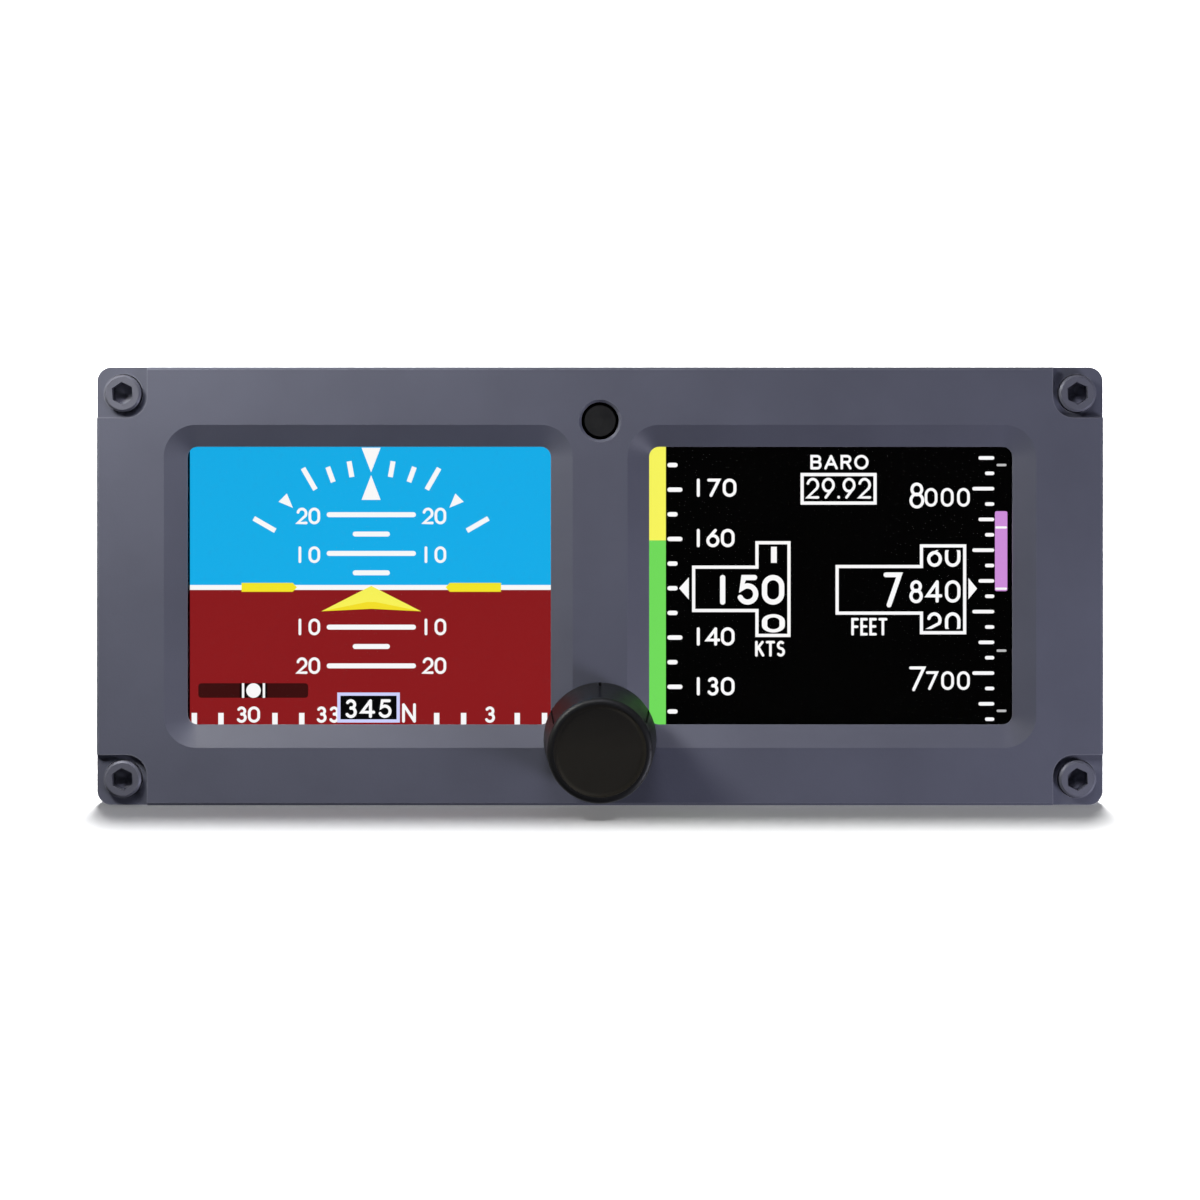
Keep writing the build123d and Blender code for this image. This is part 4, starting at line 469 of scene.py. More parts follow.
class Finish:
    """A node material with a few helpers for building it."""

    def __init__(self, name):
        self.material = bpy.data.materials.new(name)
        self.material.use_nodes = True
        self.tree = self.material.node_tree
        self.shader = self.tree.nodes["Principled BSDF"]
        self.place = self.node("ShaderNodeTexCoord").outputs["Object"]

    def node(self, kind, **settings):
        """A new node of that kind with its settings."""
        made = self.tree.nodes.new(kind)
        for name, value in settings.items():
            setattr(made, name, value)
        return made

    def link(self, source, target):
        """Joins an output socket to an input socket."""
        self.tree.links.new(source, target)

    def set(self, **values):
        """Sets plain values on the shader's own sockets, underscores standing for spaces."""
        for name, value in values.items():
            self.shader.inputs[name.replace("_", " ")].default_value = value

    def stretched(self, x, y, z):
        """Object coordinates scaled by axis, for brushed or streaky finishes."""
        mapping = self.node("ShaderNodeMapping")
        mapping.inputs["Scale"].default_value = (x, y, z)
        self.link(self.place, mapping.inputs["Vector"])
        return mapping.outputs["Vector"]

    def noise(self, size, detail=3.0, place=None):
        """Noise with features about as large as size, in metres."""
        made = self.node("ShaderNodeTexNoise")
        made.inputs["Scale"].default_value = 1 / size
        made.inputs["Detail"].default_value = detail
        self.link(place or self.place, made.inputs["Vector"])
        return made.outputs["Fac"]

    def cells(self, size):
        """Distance from the middle of the nearest cell, for cells about as large as size, in metres."""
        made = self.node("ShaderNodeTexVoronoi", feature="F1")
        made.inputs["Scale"].default_value = 1 / size
        self.link(self.place, made.inputs["Vector"])
        return made.outputs["Distance"]

    def ramp(self, source, *stops):
        """A colour ramp with (position, colour) stops."""
        made = self.node("ShaderNodeValToRGB")
        elements = made.color_ramp.elements
        for index, (position, colour) in enumerate(stops):
            element = elements[index] if index < 2 else elements.new(position)
            element.position = position
            element.color = colour
        self.link(source, made.inputs["Fac"])
        return made.outputs["Color"]

    def mix(self, amount, first, second):
        """Two colours mixed by a socket."""
        made = self.node("ShaderNodeMix", data_type="RGBA")
        self.link(amount, made.inputs["Factor"])
        for socket, value in ((made.inputs[6], first), (made.inputs[7], second)):
            if isinstance(value, bpy.types.NodeSocket):
                self.link(value, socket)
            else:
                socket.default_value = value
        return made.outputs[2]

    def spread(self, source, low, high):
        """A value from 0 to 1 spread over another range."""
        made = self.node("ShaderNodeMapRange")
        made.inputs["To Min"].default_value = low
        made.inputs["To Max"].default_value = high
        self.link(source, made.inputs["Value"])
        return made.outputs["Result"]

    def colour(self, source):
        """Colours the surface with a socket."""
        self.link(source, self.shader.inputs["Base Color"])

    def roughness(self, source, low, high):
        """Lets the roughness follow a value from low to high."""
        self.link(self.spread(source, low, high), self.shader.inputs["Roughness"])

    def bump(self, source, height):
        """A bump of a height in metres."""
        made = self.node("ShaderNodeBump")
        made.inputs["Distance"].default_value = height
        made.inputs["Strength"].default_value = 1.0
        self.link(source, made.inputs["Height"])
        self.link(made.outputs["Normal"], self.shader.inputs["Normal"])

    def edges(self, radius):
        """A value that rises along the sharp edges of the part."""
        rounded = self.node("ShaderNodeBevel", samples=6)
        rounded.inputs["Radius"].default_value = radius
        flat = self.node("ShaderNodeNewGeometry")
        dot = self.node("ShaderNodeVectorMath", operation="DOT_PRODUCT")
        self.link(rounded.outputs["Normal"], dot.inputs[0])
        self.link(flat.outputs["Normal"], dot.inputs[1])
        return self.spread(dot.outputs["Value"], 1.0, 0.0)


def shade(colour, factor):
    """A colour made darker or lighter."""
    return (*[min(1.0, part * factor) for part in colour[:3]], 1.0)


def satin_paint(name, colour, worn_and_highlight_colour):
    """Baked enamel on machined aluminium: fine orange peel, slight mottling, and paler edges that are
    partly paint wear and partly a painted edge highlight.
    """
    finish = Finish(name)
    mottle = finish.noise(PAINT_MOTTLE, detail=4)
    body = finish.ramp(mottle, (0.3, shade(colour, 0.94)), (0.7, shade(colour, 1.06)))
    # Paler colour along the sharp edges: partly paint wear, partly a painted highlight where the edge
    # breaks would catch the light.
    edge = finish.ramp(finish.edges(PAINT_WEAR_AND_HIGHLIGHT_EDGE), (0.02, BLACK), (0.25, WHITE))
    finish.colour(finish.mix(edge, body, worn_and_highlight_colour))
    finish.roughness(finish.noise(PAINT_SHEEN_PATCH), 0.42, 0.52)
    finish.bump(finish.noise(PAINT_PEEL, detail=2), PAINT_PEEL_HEIGHT)
    finish.set(Specular_IOR_Level=0.42)
    return finish.material


def turned_metal(name, colour, roughness, metallic=1.0):
    """Machined and plated metal with fine tool marks and a little dulling."""
    finish = Finish(name)
    marks = finish.noise(METAL_MARK, detail=2, place=finish.stretched(1.0, METAL_MARK_STRETCH, 1.0))
    dull = finish.noise(METAL_DULLING, detail=4)
    finish.colour(finish.ramp(dull, (0.25, shade(colour, 0.88)), (0.75, shade(colour, 1.08))))
    finish.roughness(marks, roughness - 0.06, roughness + 0.08)
    finish.bump(marks, METAL_MARK_HEIGHT)
    finish.set(Metallic=metallic)
    return finish.material


def moulded_plastic(name, colour, roughness):
    """Injection-moulded plastic: fine spark-eroded grain and faint flow marks."""
    finish = Finish(name)
    flow = finish.noise(PLASTIC_FLOW, detail=3)
    finish.colour(finish.ramp(flow, (0.3, shade(colour, 0.9)), (0.7, shade(colour, 1.1))))
    finish.roughness(finish.noise(PLASTIC_SHEEN_PATCH), roughness - 0.04, roughness + 0.06)
    finish.bump(finish.noise(PLASTIC_GRAIN, detail=2), PLASTIC_GRAIN_HEIGHT)
    finish.set(Specular_IOR_Level=0.5)
    return finish.material


def foam_rubber(name, colour):
    """Closed-cell foam: small pits all over, their middles darkened with painted shade."""
    finish = Finish(name)
    pits = finish.cells(FOAM_PIT)
    # Painted shade: the colour darkens towards the middle of each pit, where the bump sinks.
    finish.colour(finish.ramp(pits, (0.0, shade(colour, 0.5)), (0.6, shade(colour, 1.2))))
    finish.roughness(pits, 0.85, 0.95)
    finish.bump(pits, FOAM_PIT_DEPTH)
    return finish.material


def hose_rubber(name, colour):
    """Extruded rubber with a dusty bloom."""
    finish = Finish(name)
    bloom = finish.noise(RUBBER_BLOOM, detail=5)
    finish.colour(finish.ramp(bloom, (0.35, colour), (0.8, shade(colour, 2.2))))
    finish.roughness(bloom, 0.55, 0.8)
    finish.bump(finish.noise(RUBBER_GRAIN), RUBBER_GRAIN_HEIGHT)
    return finish.material


def circuit_laminate(name, colour, track_colour):
    """Solder mask over copper: paler straight tracks and small via dots on the board's faces."""
    finish = Finish(name)
    tracks = finish.node("ShaderNodeTexBrick")
    tracks.inputs["Scale"].default_value = 1.0
    tracks.inputs["Brick Width"].default_value = TRACK_LENGTH
    tracks.inputs["Row Height"].default_value = TRACK_PITCH
    tracks.inputs["Mortar Size"].default_value = TRACK_WIDTH
    tracks.inputs["Mortar Smooth"].default_value = 0.1
    finish.link(finish.place, tracks.inputs["Vector"])
    vias = finish.ramp(finish.cells(VIA_PITCH), (0.10, WHITE), (0.13, BLACK))
    mask = finish.ramp(finish.noise(MASK_PATCH), (0.3, shade(colour, 0.85)), (0.7, shade(colour, 1.1)))
    with_tracks = finish.mix(tracks.outputs["Fac"], mask, track_colour)
    finish.colour(finish.mix(vias, with_tracks, linear(196, 170, 96)))
    finish.roughness(tracks.outputs["Fac"], 0.32, 0.45)
    finish.bump(tracks.outputs["Fac"], TRACK_HEIGHT)
    return finish.material


def chip_epoxy(name):
    """Black moulding compound with a mineral speckle."""
    finish = Finish(name)
    speck = finish.noise(EPOXY_SPECK, detail=1)
    finish.colour(finish.ramp(speck, (0.4, linear(24, 24, 26)), (0.75, linear(62, 62, 64))))
    finish.roughness(speck, 0.45, 0.65)
    finish.bump(speck, EPOXY_SPECK_HEIGHT)
    return finish.material


def ribbon_film(name):
    """Amber polyimide film with copper conductors showing through."""
    finish = Finish(name)
    lines = finish.node("ShaderNodeTexWave", wave_type="BANDS", bands_direction="X")
    lines.inputs["Scale"].default_value = RIBBON_BANDS_SCALE
    finish.link(finish.place, lines.inputs["Vector"])
    stripes = lines.outputs["Fac"]
    finish.colour(finish.ramp(stripes, (0.35, linear(150, 84, 30)), (0.65, linear(205, 128, 58))))
    finish.roughness(stripes, 0.28, 0.4)
    finish.bump(stripes, RIBBON_LINE_HEIGHT)
    return finish.material


def shrink_wrap(name):
    """Heat-shrunk sleeve of the cells: glossy film with faint wrinkles, darker in their hollows as painted
    shade.
    """
    finish = Finish(name)
    wrinkles = finish.noise(SLEEVE_WRINKLE, detail=4, place=finish.stretched(1.0, 1.0, 0.25))
    # Painted shade: the colour follows the wrinkles, darker in the hollows and paler on the crests.
    finish.colour(finish.ramp(wrinkles, (0.3, linear(28, 84, 150)), (0.7, linear(44, 108, 178))))
    finish.roughness(wrinkles, 0.22, 0.36)
    finish.bump(wrinkles, SLEEVE_WRINKLE_HEIGHT)
    return finish.material


def diffuser_plastic(name):
    """Milky light guide with its dot pattern."""
    finish = Finish(name)
    dots = finish.cells(GUIDE_DOT)
    finish.colour(finish.ramp(dots, (0.2, linear(236, 238, 242)), (0.5, linear(206, 210, 216))))
    finish.roughness(dots, 0.3, 0.5)
    finish.bump(dots, GUIDE_DOT_HEIGHT)
    finish.set(Transmission_Weight=0.2)
    return finish.material


def coated_glass(name):
    """Thin cover glass with an anti-reflection coating."""
    finish = Finish(name)
    film = finish.noise(GLASS_PATCH)
    finish.colour(finish.ramp(film, (0.3, (0.97, 0.98, 1.0, 1.0)), (0.7, (1.0, 0.99, 0.98, 1.0))))
    finish.roughness(film, 0.0, 0.01)
    finish.set(Transmission_Weight=1.0, IOR=1.03, Specular_IOR_Level=0.5)
    return finish.material


def lit_pixels(name, colour, sheen=0.03):
    """A lit area of the display. Its light varies a little over the area in soft patches, a painted sheen.
    """
    finish = Finish(name)
    # Painted sheen: the emitted colour is made a little brighter and darker in soft patches.
    patches = finish.noise(GLOW_PATCH, detail=0, place=finish.stretched(0.6, 0.0, 0.8))
    glow = finish.ramp(patches, (0.3, shade(colour, 1 - sheen)), (0.7, shade(colour, 1 + sheen)))
    finish.link(glow, finish.shader.inputs["Emission Color"])
    finish.set(Emission_Strength=1.0, Base_Color=BLACK, Specular_IOR_Level=0.0, Roughness=0.6)
    return finish.material


def dark_pixels(name):
    """The unlit display: near black."""
    finish = Finish(name)
    finish.colour(finish.ramp(finish.noise(DARK_PATCH), (0.3, linear(8, 8, 9)), (0.7, linear(10, 10, 11))))
    finish.set(Specular_IOR_Level=0.0, Roughness=0.6)
    return finish.material


def sensor_glass(name):
    """Smoked window of the light sensor."""
    finish = Finish(name)
    tint = finish.noise(SMOKE_PATCH)
    finish.colour(finish.ramp(tint, (0.3, linear(40, 40, 41)), (0.7, linear(48, 48, 48))))
    finish.roughness(tint, 0.12, 0.2)
    finish.set(Specular_IOR_Level=0.35)
    return finish.material


def knob_disc():
    """Matt disc in the knob: a little paler towards the bottom, with a pale line round its border that is
    a painted highlight.
    """
    finish = Finish("knob_disc")
    low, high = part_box("knob_cap")
    middle = (low + high) / 2
    radius = (high.x - low.x) / 2
    centred = finish.node("ShaderNodeMapping")
    centred.inputs["Location"].default_value = (-middle.x / radius, 0.0, -middle.z / radius)
    centred.inputs["Scale"].default_value = (1 / radius, 0.0, 1 / radius)
    finish.link(finish.place, centred.inputs["Vector"])
    parts = finish.node("ShaderNodeSeparateXYZ")
    finish.link(centred.outputs["Vector"], parts.inputs["Vector"])
    height = finish.ramp(
        finish.spread(parts.outputs["Z"], 0.5, 1.0), (0.1, linear(48, 45, 37)), (0.9, linear(30, 28, 24))
    )
    reach = finish.node("ShaderNodeVectorMath", operation="LENGTH")
    finish.link(centred.outputs["Vector"], reach.inputs[0])
    # Painted highlight: a pale ring round the disc's border, where its edge would catch the light.
    border = finish.ramp(reach.outputs["Value"], (0.90, BLACK), (0.96, WHITE))
    finish.colour(finish.mix(border, height, linear(58, 55, 47)))
    finish.roughness(finish.noise(PLASTIC_SHEEN_PATCH), 0.5, 0.62)
    finish.bump(finish.noise(PLASTIC_GRAIN, detail=2), PLASTIC_GRAIN_HEIGHT)
    finish.set(Specular_IOR_Level=0.3)
    return finish.material


def slot_finishes():
    """One material for each material slot of the record."""
    slate = linear(104, 106, 120)
    return {
        "bezel_paint": satin_paint("bezel_enamel", slate, linear(140, 140, 150)),
        "case_paint": satin_paint("case_enamel", linear(52, 53, 58), linear(92, 92, 98)),
        "screw_steel": turned_metal("screw_plating", linear(120, 121, 133), 0.46, metallic=0.25),
        "dark_screws": turned_metal("black_oxide", linear(58, 58, 62), 0.42),
        "cover_glass": coated_glass("coated_glass"),
        "foam": foam_rubber("black_foam", linear(26, 26, 28)),
        "display": dark_pixels("display_unlit"),
        "light_guide": diffuser_plastic("light_guide_acrylic"),
        "tray_metal": turned_metal("tray_sheet", linear(176, 178, 182), 0.38),
        "flex_film": ribbon_film("amber_film"),
        "circuit_board": circuit_laminate("board_mask", linear(20, 74, 44), linear(44, 112, 66)),
        "chips": chip_epoxy("chip_epoxy"),
        "sensor_window": sensor_glass("sensor_smoke"),
        "knob_plastic": moulded_plastic("knob_black", linear(17, 17, 18), 0.5),
        "shaft_steel": turned_metal("shaft_stainless", linear(170, 170, 172), 0.28),
        "nut_nickel": turned_metal("nickel", linear(186, 184, 176), 0.30),
        "encoder_plastic": moulded_plastic("switch_plastic", linear(34, 40, 58), 0.45),
        "encoder_zinc": turned_metal("zinc_casting", linear(150, 152, 156), 0.45),
        "connector_moulding": moulded_plastic("connector_black", linear(30, 32, 34), 0.5),
        "gold_contacts": turned_metal("contact_gold", linear(222, 180, 92), 0.25),
        "blue_anodised": turned_metal("blue_anodising", linear(28, 60, 142), 0.34),
        "plain_aluminium": turned_metal("aluminium", linear(186, 188, 192), 0.36),
        "sensor_board": circuit_laminate("sensor_mask", linear(22, 44, 96), linear(46, 76, 140)),
        "hose_rubber": hose_rubber("hose_rubber", linear(24, 24, 25)),
        "cell_wrap": shrink_wrap("cell_sleeve"),
        "cradle_plastic": moulded_plastic("cradle_white", linear(206, 206, 200), 0.5),
    }


def dress_nodes():
    """Gives each CAD node the finish of its material slot, and the knob's disc its own."""
    finishes = slot_finishes()
    own = {"knob_cap": knob_disc()}
    for part in frame["record"]["subparts"]:
        node = part["node"]
        material = own.get(node) or finishes[part["material_slot"]]
        data = frame["nodes"][node].data
        data.materials.clear()
        data.materials.append(material)


# Attitude picture on the left display


def draw_sky_and_ground():
    """Blue over red, meeting at the horizon."""
    sky = Drawing("left_sky", "left", layer=1)
    sky.fill(rectangle(-HALF_WIDTH, HALF_WIDTH, HORIZON_Z, HALF_HEIGHT))
    sky.place(lit_pixels("sky_blue", linear(24, 174, 233)))
    ground = Drawing("left_ground", "left", layer=1)
    ground.fill(rectangle(-HALF_WIDTH, HALF_WIDTH, -HALF_HEIGHT, HORIZON_Z))
    ground.place(lit_pixels("ground_red", linear(138, 28, 31)))


def roll_point(beyond, angle):
    """A point outside the roll scale's arc, at an angle to the right of its top."""
    return polar(ROLL_CENTRE_X, ROLL_CENTRE_Z, ROLL_RADIUS + beyond, 90 - angle)


def draw_roll_scale(marks):
    """Ticks and triangles of the bank angle, and the pair of pointers at the top."""
    def tick(angle, length, rise=0.0):
        ends = [roll_point(rise, angle), roll_point(rise + length, angle)]
        marks.line(ends, MARK_WIDTH, round_ends=False)

    for side in (-1, 1):
        tick(side * 10, ROLL_SHORT_TICK)
        tick(side * 20, ROLL_SHORT_TICK)
        tick(side * 30, ROLL_LONG_TICK, rise=ROLL_THIRTY_RISE)
        tick(side * 60, ROLL_LONG_TICK)
        turn = side * ROLL_TRIANGLE_ANGLE
        marks.fill([
            roll_point(0.0, turn),
            roll_point(ROLL_TRIANGLE_HEIGHT, turn + ROLL_TRIANGLE_HALF_ANGLE),
            roll_point(ROLL_TRIANGLE_HEIGHT, turn - ROLL_TRIANGLE_HALF_ANGLE),
        ])
    for direction in (-1, 1):
        point = ROLL_POINTER_Z + direction * ROLL_POINTER_GAP
        base = point + direction * ROLL_POINTER_HEIGHT
        marks.fill([
            (ROLL_CENTRE_X, point),
            (ROLL_CENTRE_X + ROLL_POINTER_HALF_WIDTH, base),
            (ROLL_CENTRE_X - ROLL_POINTER_HALF_WIDTH, base),
        ])


def ladder_z(degrees):
    """The height of a line of the pitch ladder."""
    start = LADDER_ABOVE_Z if degrees > 0 else LADDER_BELOW_Z
    return start + degrees * LADDER_PER_DEGREE


def draw_pitch_ladder(marks):
    """Long numbered lines every 10 degrees and short ones between them."""
    for degrees in (20, 10, -10, -20):
        z = ladder_z(degrees)
        marks.line([(LADDER_X - LADDER_LONG_HALF, z), (LADDER_X + LADDER_LONG_HALF, z)], MARK_WIDTH)
        number_z = z - LADDER_NUMBER_DROP
        if degrees < 0:
            number_z += LADDER_NUMBER_RISE_BELOW
        for side in (-1, 1):
            middle = LADDER_X + side * LADDER_NUMBER_X
            box = Box(
                left=middle - LADDER_NUMBER_WIDTH / 2,
                right=middle + LADDER_NUMBER_WIDTH / 2,
                bottom=number_z - LADDER_NUMBER_HEIGHT / 2,
                top=number_z + LADDER_NUMBER_HEIGHT / 2,
            )
            marks.text(str(abs(degrees)), box, LADDER_NUMBER_STROKE, narrow=LADDER_NUMBER_NARROW)
    for degrees in (15, 5, -15):
        z = ladder_z(degrees)
        marks.line([(LADDER_X - LADDER_SHORT_HALF, z), (LADDER_X + LADDER_SHORT_HALF, z)], MARK_WIDTH)


def draw_aircraft_symbol():
    """Two wing bars and a folded delta that stand for the aircraft."""
    wings = Drawing("left_wing_bars", "left", layer=4)
    middle = (WING_TOP + WING_BOTTOM) / 2
    for side in (-1, 1):
        inner = LADDER_X + side * WING_INNER
        outer = LADDER_X + side * WING_OUTER
        shoulder = inner + side * WING_SHOULDER
        wings.fill([
            (inner, middle),
            (shoulder, WING_TOP),
            (outer, WING_TOP),
            (outer, WING_BOTTOM),
            (shoulder, WING_BOTTOM),
        ])
    wings.place(lit_pixels("wing_yellow", linear(244, 230, 43)))
    apex = (LADDER_X, DELTA_TOP)
    hollow = (LADDER_X, DELTA_MIDDLE_Z)
    left_fold = (LADDER_X - DELTA_FOLD_HALF_WIDTH, DELTA_FOLD_Z)
    right_fold = (LADDER_X + DELTA_FOLD_HALF_WIDTH, DELTA_FOLD_Z)
    upper = Drawing("left_delta_upper", "left", layer=4)
    lower = Drawing("left_delta_lower", "left", layer=4)
    for side, fold in ((-1, left_fold), (1, right_fold)):
        corner = (LADDER_X + side * DELTA_HALF_WIDTH, DELTA_CORNER_Z)
        upper.fill([apex, corner, fold])
        lower.fill([fold, corner, hollow])
    upper.fill([apex, right_fold, left_fold])
    lower.fill([hollow, left_fold, right_fold])
    upper.place(lit_pixels("symbol_yellow", linear(249, 243, 89)))
    lower.place(lit_pixels("symbol_shade", linear(244, 224, 44)))


def draw_slip_indicator(white):
    """A dark trough with a ball between two bars."""
    trough = Drawing("left_slip_trough", "left", layer=2)
    trough.fill(rounded_rectangle(SLIP_LEFT, SLIP_RIGHT, SLIP_BOTTOM, SLIP_TOP, SLIP_CORNER))
    trough.place(lit_pixels("trough_brown", linear(58, 17, 17)))
    window = Drawing("left_slip_window", "left", layer=3)
    window.fill(rectangle(
        SLIP_BALL_X - SLIP_DARK_HALF, SLIP_BALL_X + SLIP_DARK_HALF, SLIP_BOTTOM, SLIP_TOP
    ))
    window.place(lit_pixels("slip_dark", linear(20, 8, 9)))
    ball = Drawing("left_slip_ball", "left", layer=4)
    ball.fill(arc(SLIP_BALL_X, SLIP_Z, SLIP_HALF_HEIGHT, 0, SLIP_BALL_END_ANGLE))
    for side in (-1, 1):
        x = SLIP_BALL_X + side * SLIP_BAR_OFFSET
        ball.line([(x, SLIP_BOTTOM), (x, SLIP_TOP)], SLIP_BAR_WIDTH, round_ends=False)
    ball.place(white)


def draw_heading(marks, white):
    """Ticks and numbers of the heading strip, and the boxed heading in its middle."""
    for x in HEADING_TICK_X:
        marks.line([(x, HEADING_TICK_TOP), (x, -HALF_HEIGHT)], HEADING_TICK_WIDTH, round_ends=False)
    for words, ends in (
        ("30", HEADING_THIRTY_ENDS),
        ("33", HEADING_THIRTY_THREE_ENDS),
        ("3", HEADING_THREE_ENDS),
    ):
        marks.text(words, Box(*ends, HEADING_NUMBER_BOTTOM, HEADING_NUMBER_TOP), HEADING_NUMBER_STROKE)
    marks.text("N", NORTH_BOX, NORTH_STROKE)
    frame_piece = Drawing("left_heading_frame", "left", layer=4)
    frame_piece.fill(rectangle(*HEADING_FRAME))
    frame_piece.place(lit_pixels("frame_lavender", linear(205, 208, 250)))
    inside = Drawing("left_heading_window", "left", layer=5)
    inside.fill(rectangle(
        HEADING_FRAME.left + HEADING_FRAME_WIDTH,
        HEADING_FRAME.right - HEADING_FRAME_WIDTH,
        HEADING_FRAME.bottom + HEADING_FRAME_WIDTH,
        HEADING_FRAME.top - HEADING_FRAME_WIDTH,
    ))
    inside.place(lit_pixels("window_black", linear(8, 8, 9)))
    digits = Drawing("left_heading_digits", "left", layer=6)
    digits.text("345", HEADING_DIGIT_BOX, HEADING_DIGIT_STROKE)
    digits.place(white)


def draw_attitude_picture(white):
    """Everything on the left display."""
    draw_sky_and_ground()
    horizon = Drawing("left_horizon_line", "left", layer=2)
    horizon.fill(rectangle(
        -HALF_WIDTH, HALF_WIDTH, HORIZON_Z - MARK_WIDTH / 2, HORIZON_Z + MARK_WIDTH / 2
    ))
    horizon.place(white)
    marks = Drawing("left_white_marks", "left", layer=3)
    draw_roll_scale(marks)
    draw_pitch_ladder(marks)
    draw_heading(marks, white)
    marks.place(white)
    draw_aircraft_symbol()
    draw_slip_indicator(white)


# Air data picture on the right display


def stepped_frame(marks, counter, drum):
    """The outline of a counter window: a long low box with a taller drum window at its right end."""
    outline = [
        (counter.left, counter.bottom),
        (drum.left, counter.bottom),
        (drum.left, drum.bottom),
        (drum.right, drum.bottom),
        (drum.right, drum.top),
        (drum.left, drum.top),
        (drum.left, counter.top),
        (counter.left, counter.top),
    ]
    marks.line([*outline, outline[0]], LINE_WIDTH)


def draw_speed_tape(marks):
    """Ticks and numbers of the speed, and the coloured bands beside them."""
    inset = SPEED_TICK_WIDTH / 2
    for index in range(-SPEED_TICKS_EACH_WAY, SPEED_TICKS_EACH_WAY + 1):
        z = SPEED_ZERO_Z + index * SPEED_TICK_PITCH
        length = SPEED_TICK_LONG if index in SPEED_NUMBERED_TICKS else SPEED_TICK_SHORT
        ends = [(SPEED_TICK_LEFT + inset, z), (SPEED_TICK_LEFT + length - inset, z)]
        marks.line(ends, SPEED_TICK_WIDTH)
    for words, right, z in SPEED_NUMBERS:
        box = Box(SPEED_NUMBER_LEFT, right, z - SPEED_NUMBER_HEIGHT / 2, z + SPEED_NUMBER_HEIGHT / 2)
        marks.text(words, box, SPEED_NUMBER_STROKE)
    for name, colour, low, high in (
        ("right_band_yellow", linear(249, 246, 94), BAND_CHANGE_Z, HALF_HEIGHT),
        ("right_band_green", linear(113, 219, 92), -HALF_HEIGHT, BAND_CHANGE_Z),
    ):
        band = Drawing(name, "right", layer=2)
        band.fill(rectangle(-HALF_WIDTH, BAND_RIGHT, low, high))
        band.place(lit_pixels(name + "_light", colour))


def draw_speed_counter(marks):
    """The boxed speed, its pointer and the two figures that are turning past."""
    stepped_frame(marks, SPEED_COUNTER, SPEED_DRUM)
    marks.fill([
        (SPEED_POINTER.left, SPEED_ZERO_Z),
        (SPEED_POINTER.right, SPEED_POINTER.bottom),
        (SPEED_POINTER.right, SPEED_POINTER.top),
    ])
    marks.text("150", SPEED_DIGIT_BOX, stroke=0.74)
    marks.fill(rectangle(*SPEED_UPPER_DIGIT_BOX))
    marks.text("0", SPEED_LOWER_DIGIT_BOX, stroke=0.76, drum=SPEED_LOWER_DIGIT_DRUM)


def draw_altitude_tape(marks):
    """Ticks of the altitude and its two numbers, each with a large first figure."""
    inset = ALTITUDE_TICK_WIDTH / 2
    for index in range(-ALTITUDE_TICKS_BELOW, ALTITUDE_TICKS_ABOVE + 1):
        z = ALTITUDE_LONG_Z + index * ALTITUDE_TICK_PITCH
        length = ALTITUDE_TICK_LENGTHS[index % len(ALTITUDE_TICK_LENGTHS)]
        ends = [(ALTITUDE_TICK_RIGHT - length + inset, z), (ALTITUDE_TICK_RIGHT - inset, z)]
        marks.line(ends, ALTITUDE_TICK_WIDTH)
    for first, rest, rest_left, bottom, top in (
        ("8", "000", EIGHT_THOUSAND_REST_LEFT, EIGHT_THOUSAND_BOTTOM, EIGHT_THOUSAND_TOP),
        ("7", "700", SEVEN_THOUSAND_REST_LEFT, SEVEN_THOUSAND_BOTTOM, SEVEN_THOUSAND_TOP),
    ):
        large = Box(ALTITUDE_NUMBER_LEFT, ALTITUDE_NUMBER_SPLIT, bottom, top)
        small = Box(
            rest_left,
            ALTITUDE_NUMBER_RIGHT,
            bottom + ALTITUDE_SMALL_NUMBER_RISE,
            bottom + ALTITUDE_SMALL_NUMBER_TOP,
        )
        marks.text(first, large, stroke=0.42, narrow=0.92)
        marks.text(rest, small, stroke=0.38, narrow=0.90)


def draw_altitude_counter(marks):
    """The boxed altitude, its pointer and the two figures that are turning past."""
    stepped_frame(marks, ALTITUDE_COUNTER, ALTITUDE_DRUM)
    marks.fill([
        (ALTITUDE_POINTER.right, ALTITUDE_POINTER_Z),
        (ALTITUDE_POINTER.left, ALTITUDE_POINTER.top),
        (ALTITUDE_POINTER.left, ALTITUDE_POINTER.bottom),
    ])
    marks.text("7", ALTITUDE_FIRST_DIGIT_BOX, stroke=0.68, narrow=0.68)
    marks.text("840", ALTITUDE_DIGIT_BOX, stroke=0.45, narrow=0.92)
    marks.text("60", ALTITUDE_UPPER_BOX, stroke=0.46, narrow=0.92, below=ALTITUDE_DRUM_CUT_TOP)
    marks.text("20", ALTITUDE_LOWER_BOX, stroke=0.46, narrow=0.92, above=ALTITUDE_DRUM_CUT_BOTTOM)


def draw_words(marks):
    """The units, and the barometric setting with its frame."""
    marks.text("KTS", KNOTS_BOX, UNIT_STROKE, narrow=0.87)
    marks.text("FEET", FEET_BOX, UNIT_STROKE, narrow=0.74)
    marks.text("BARO", BARO_BOX, stroke=0.36, narrow=0.98)
    marks.text("29.92", PRESSURE_BOX, stroke=0.38, narrow=0.86)
    outline = rectangle(*PRESSURE_FRAME)
    marks.line([*outline, outline[0]], LINE_WIDTH)


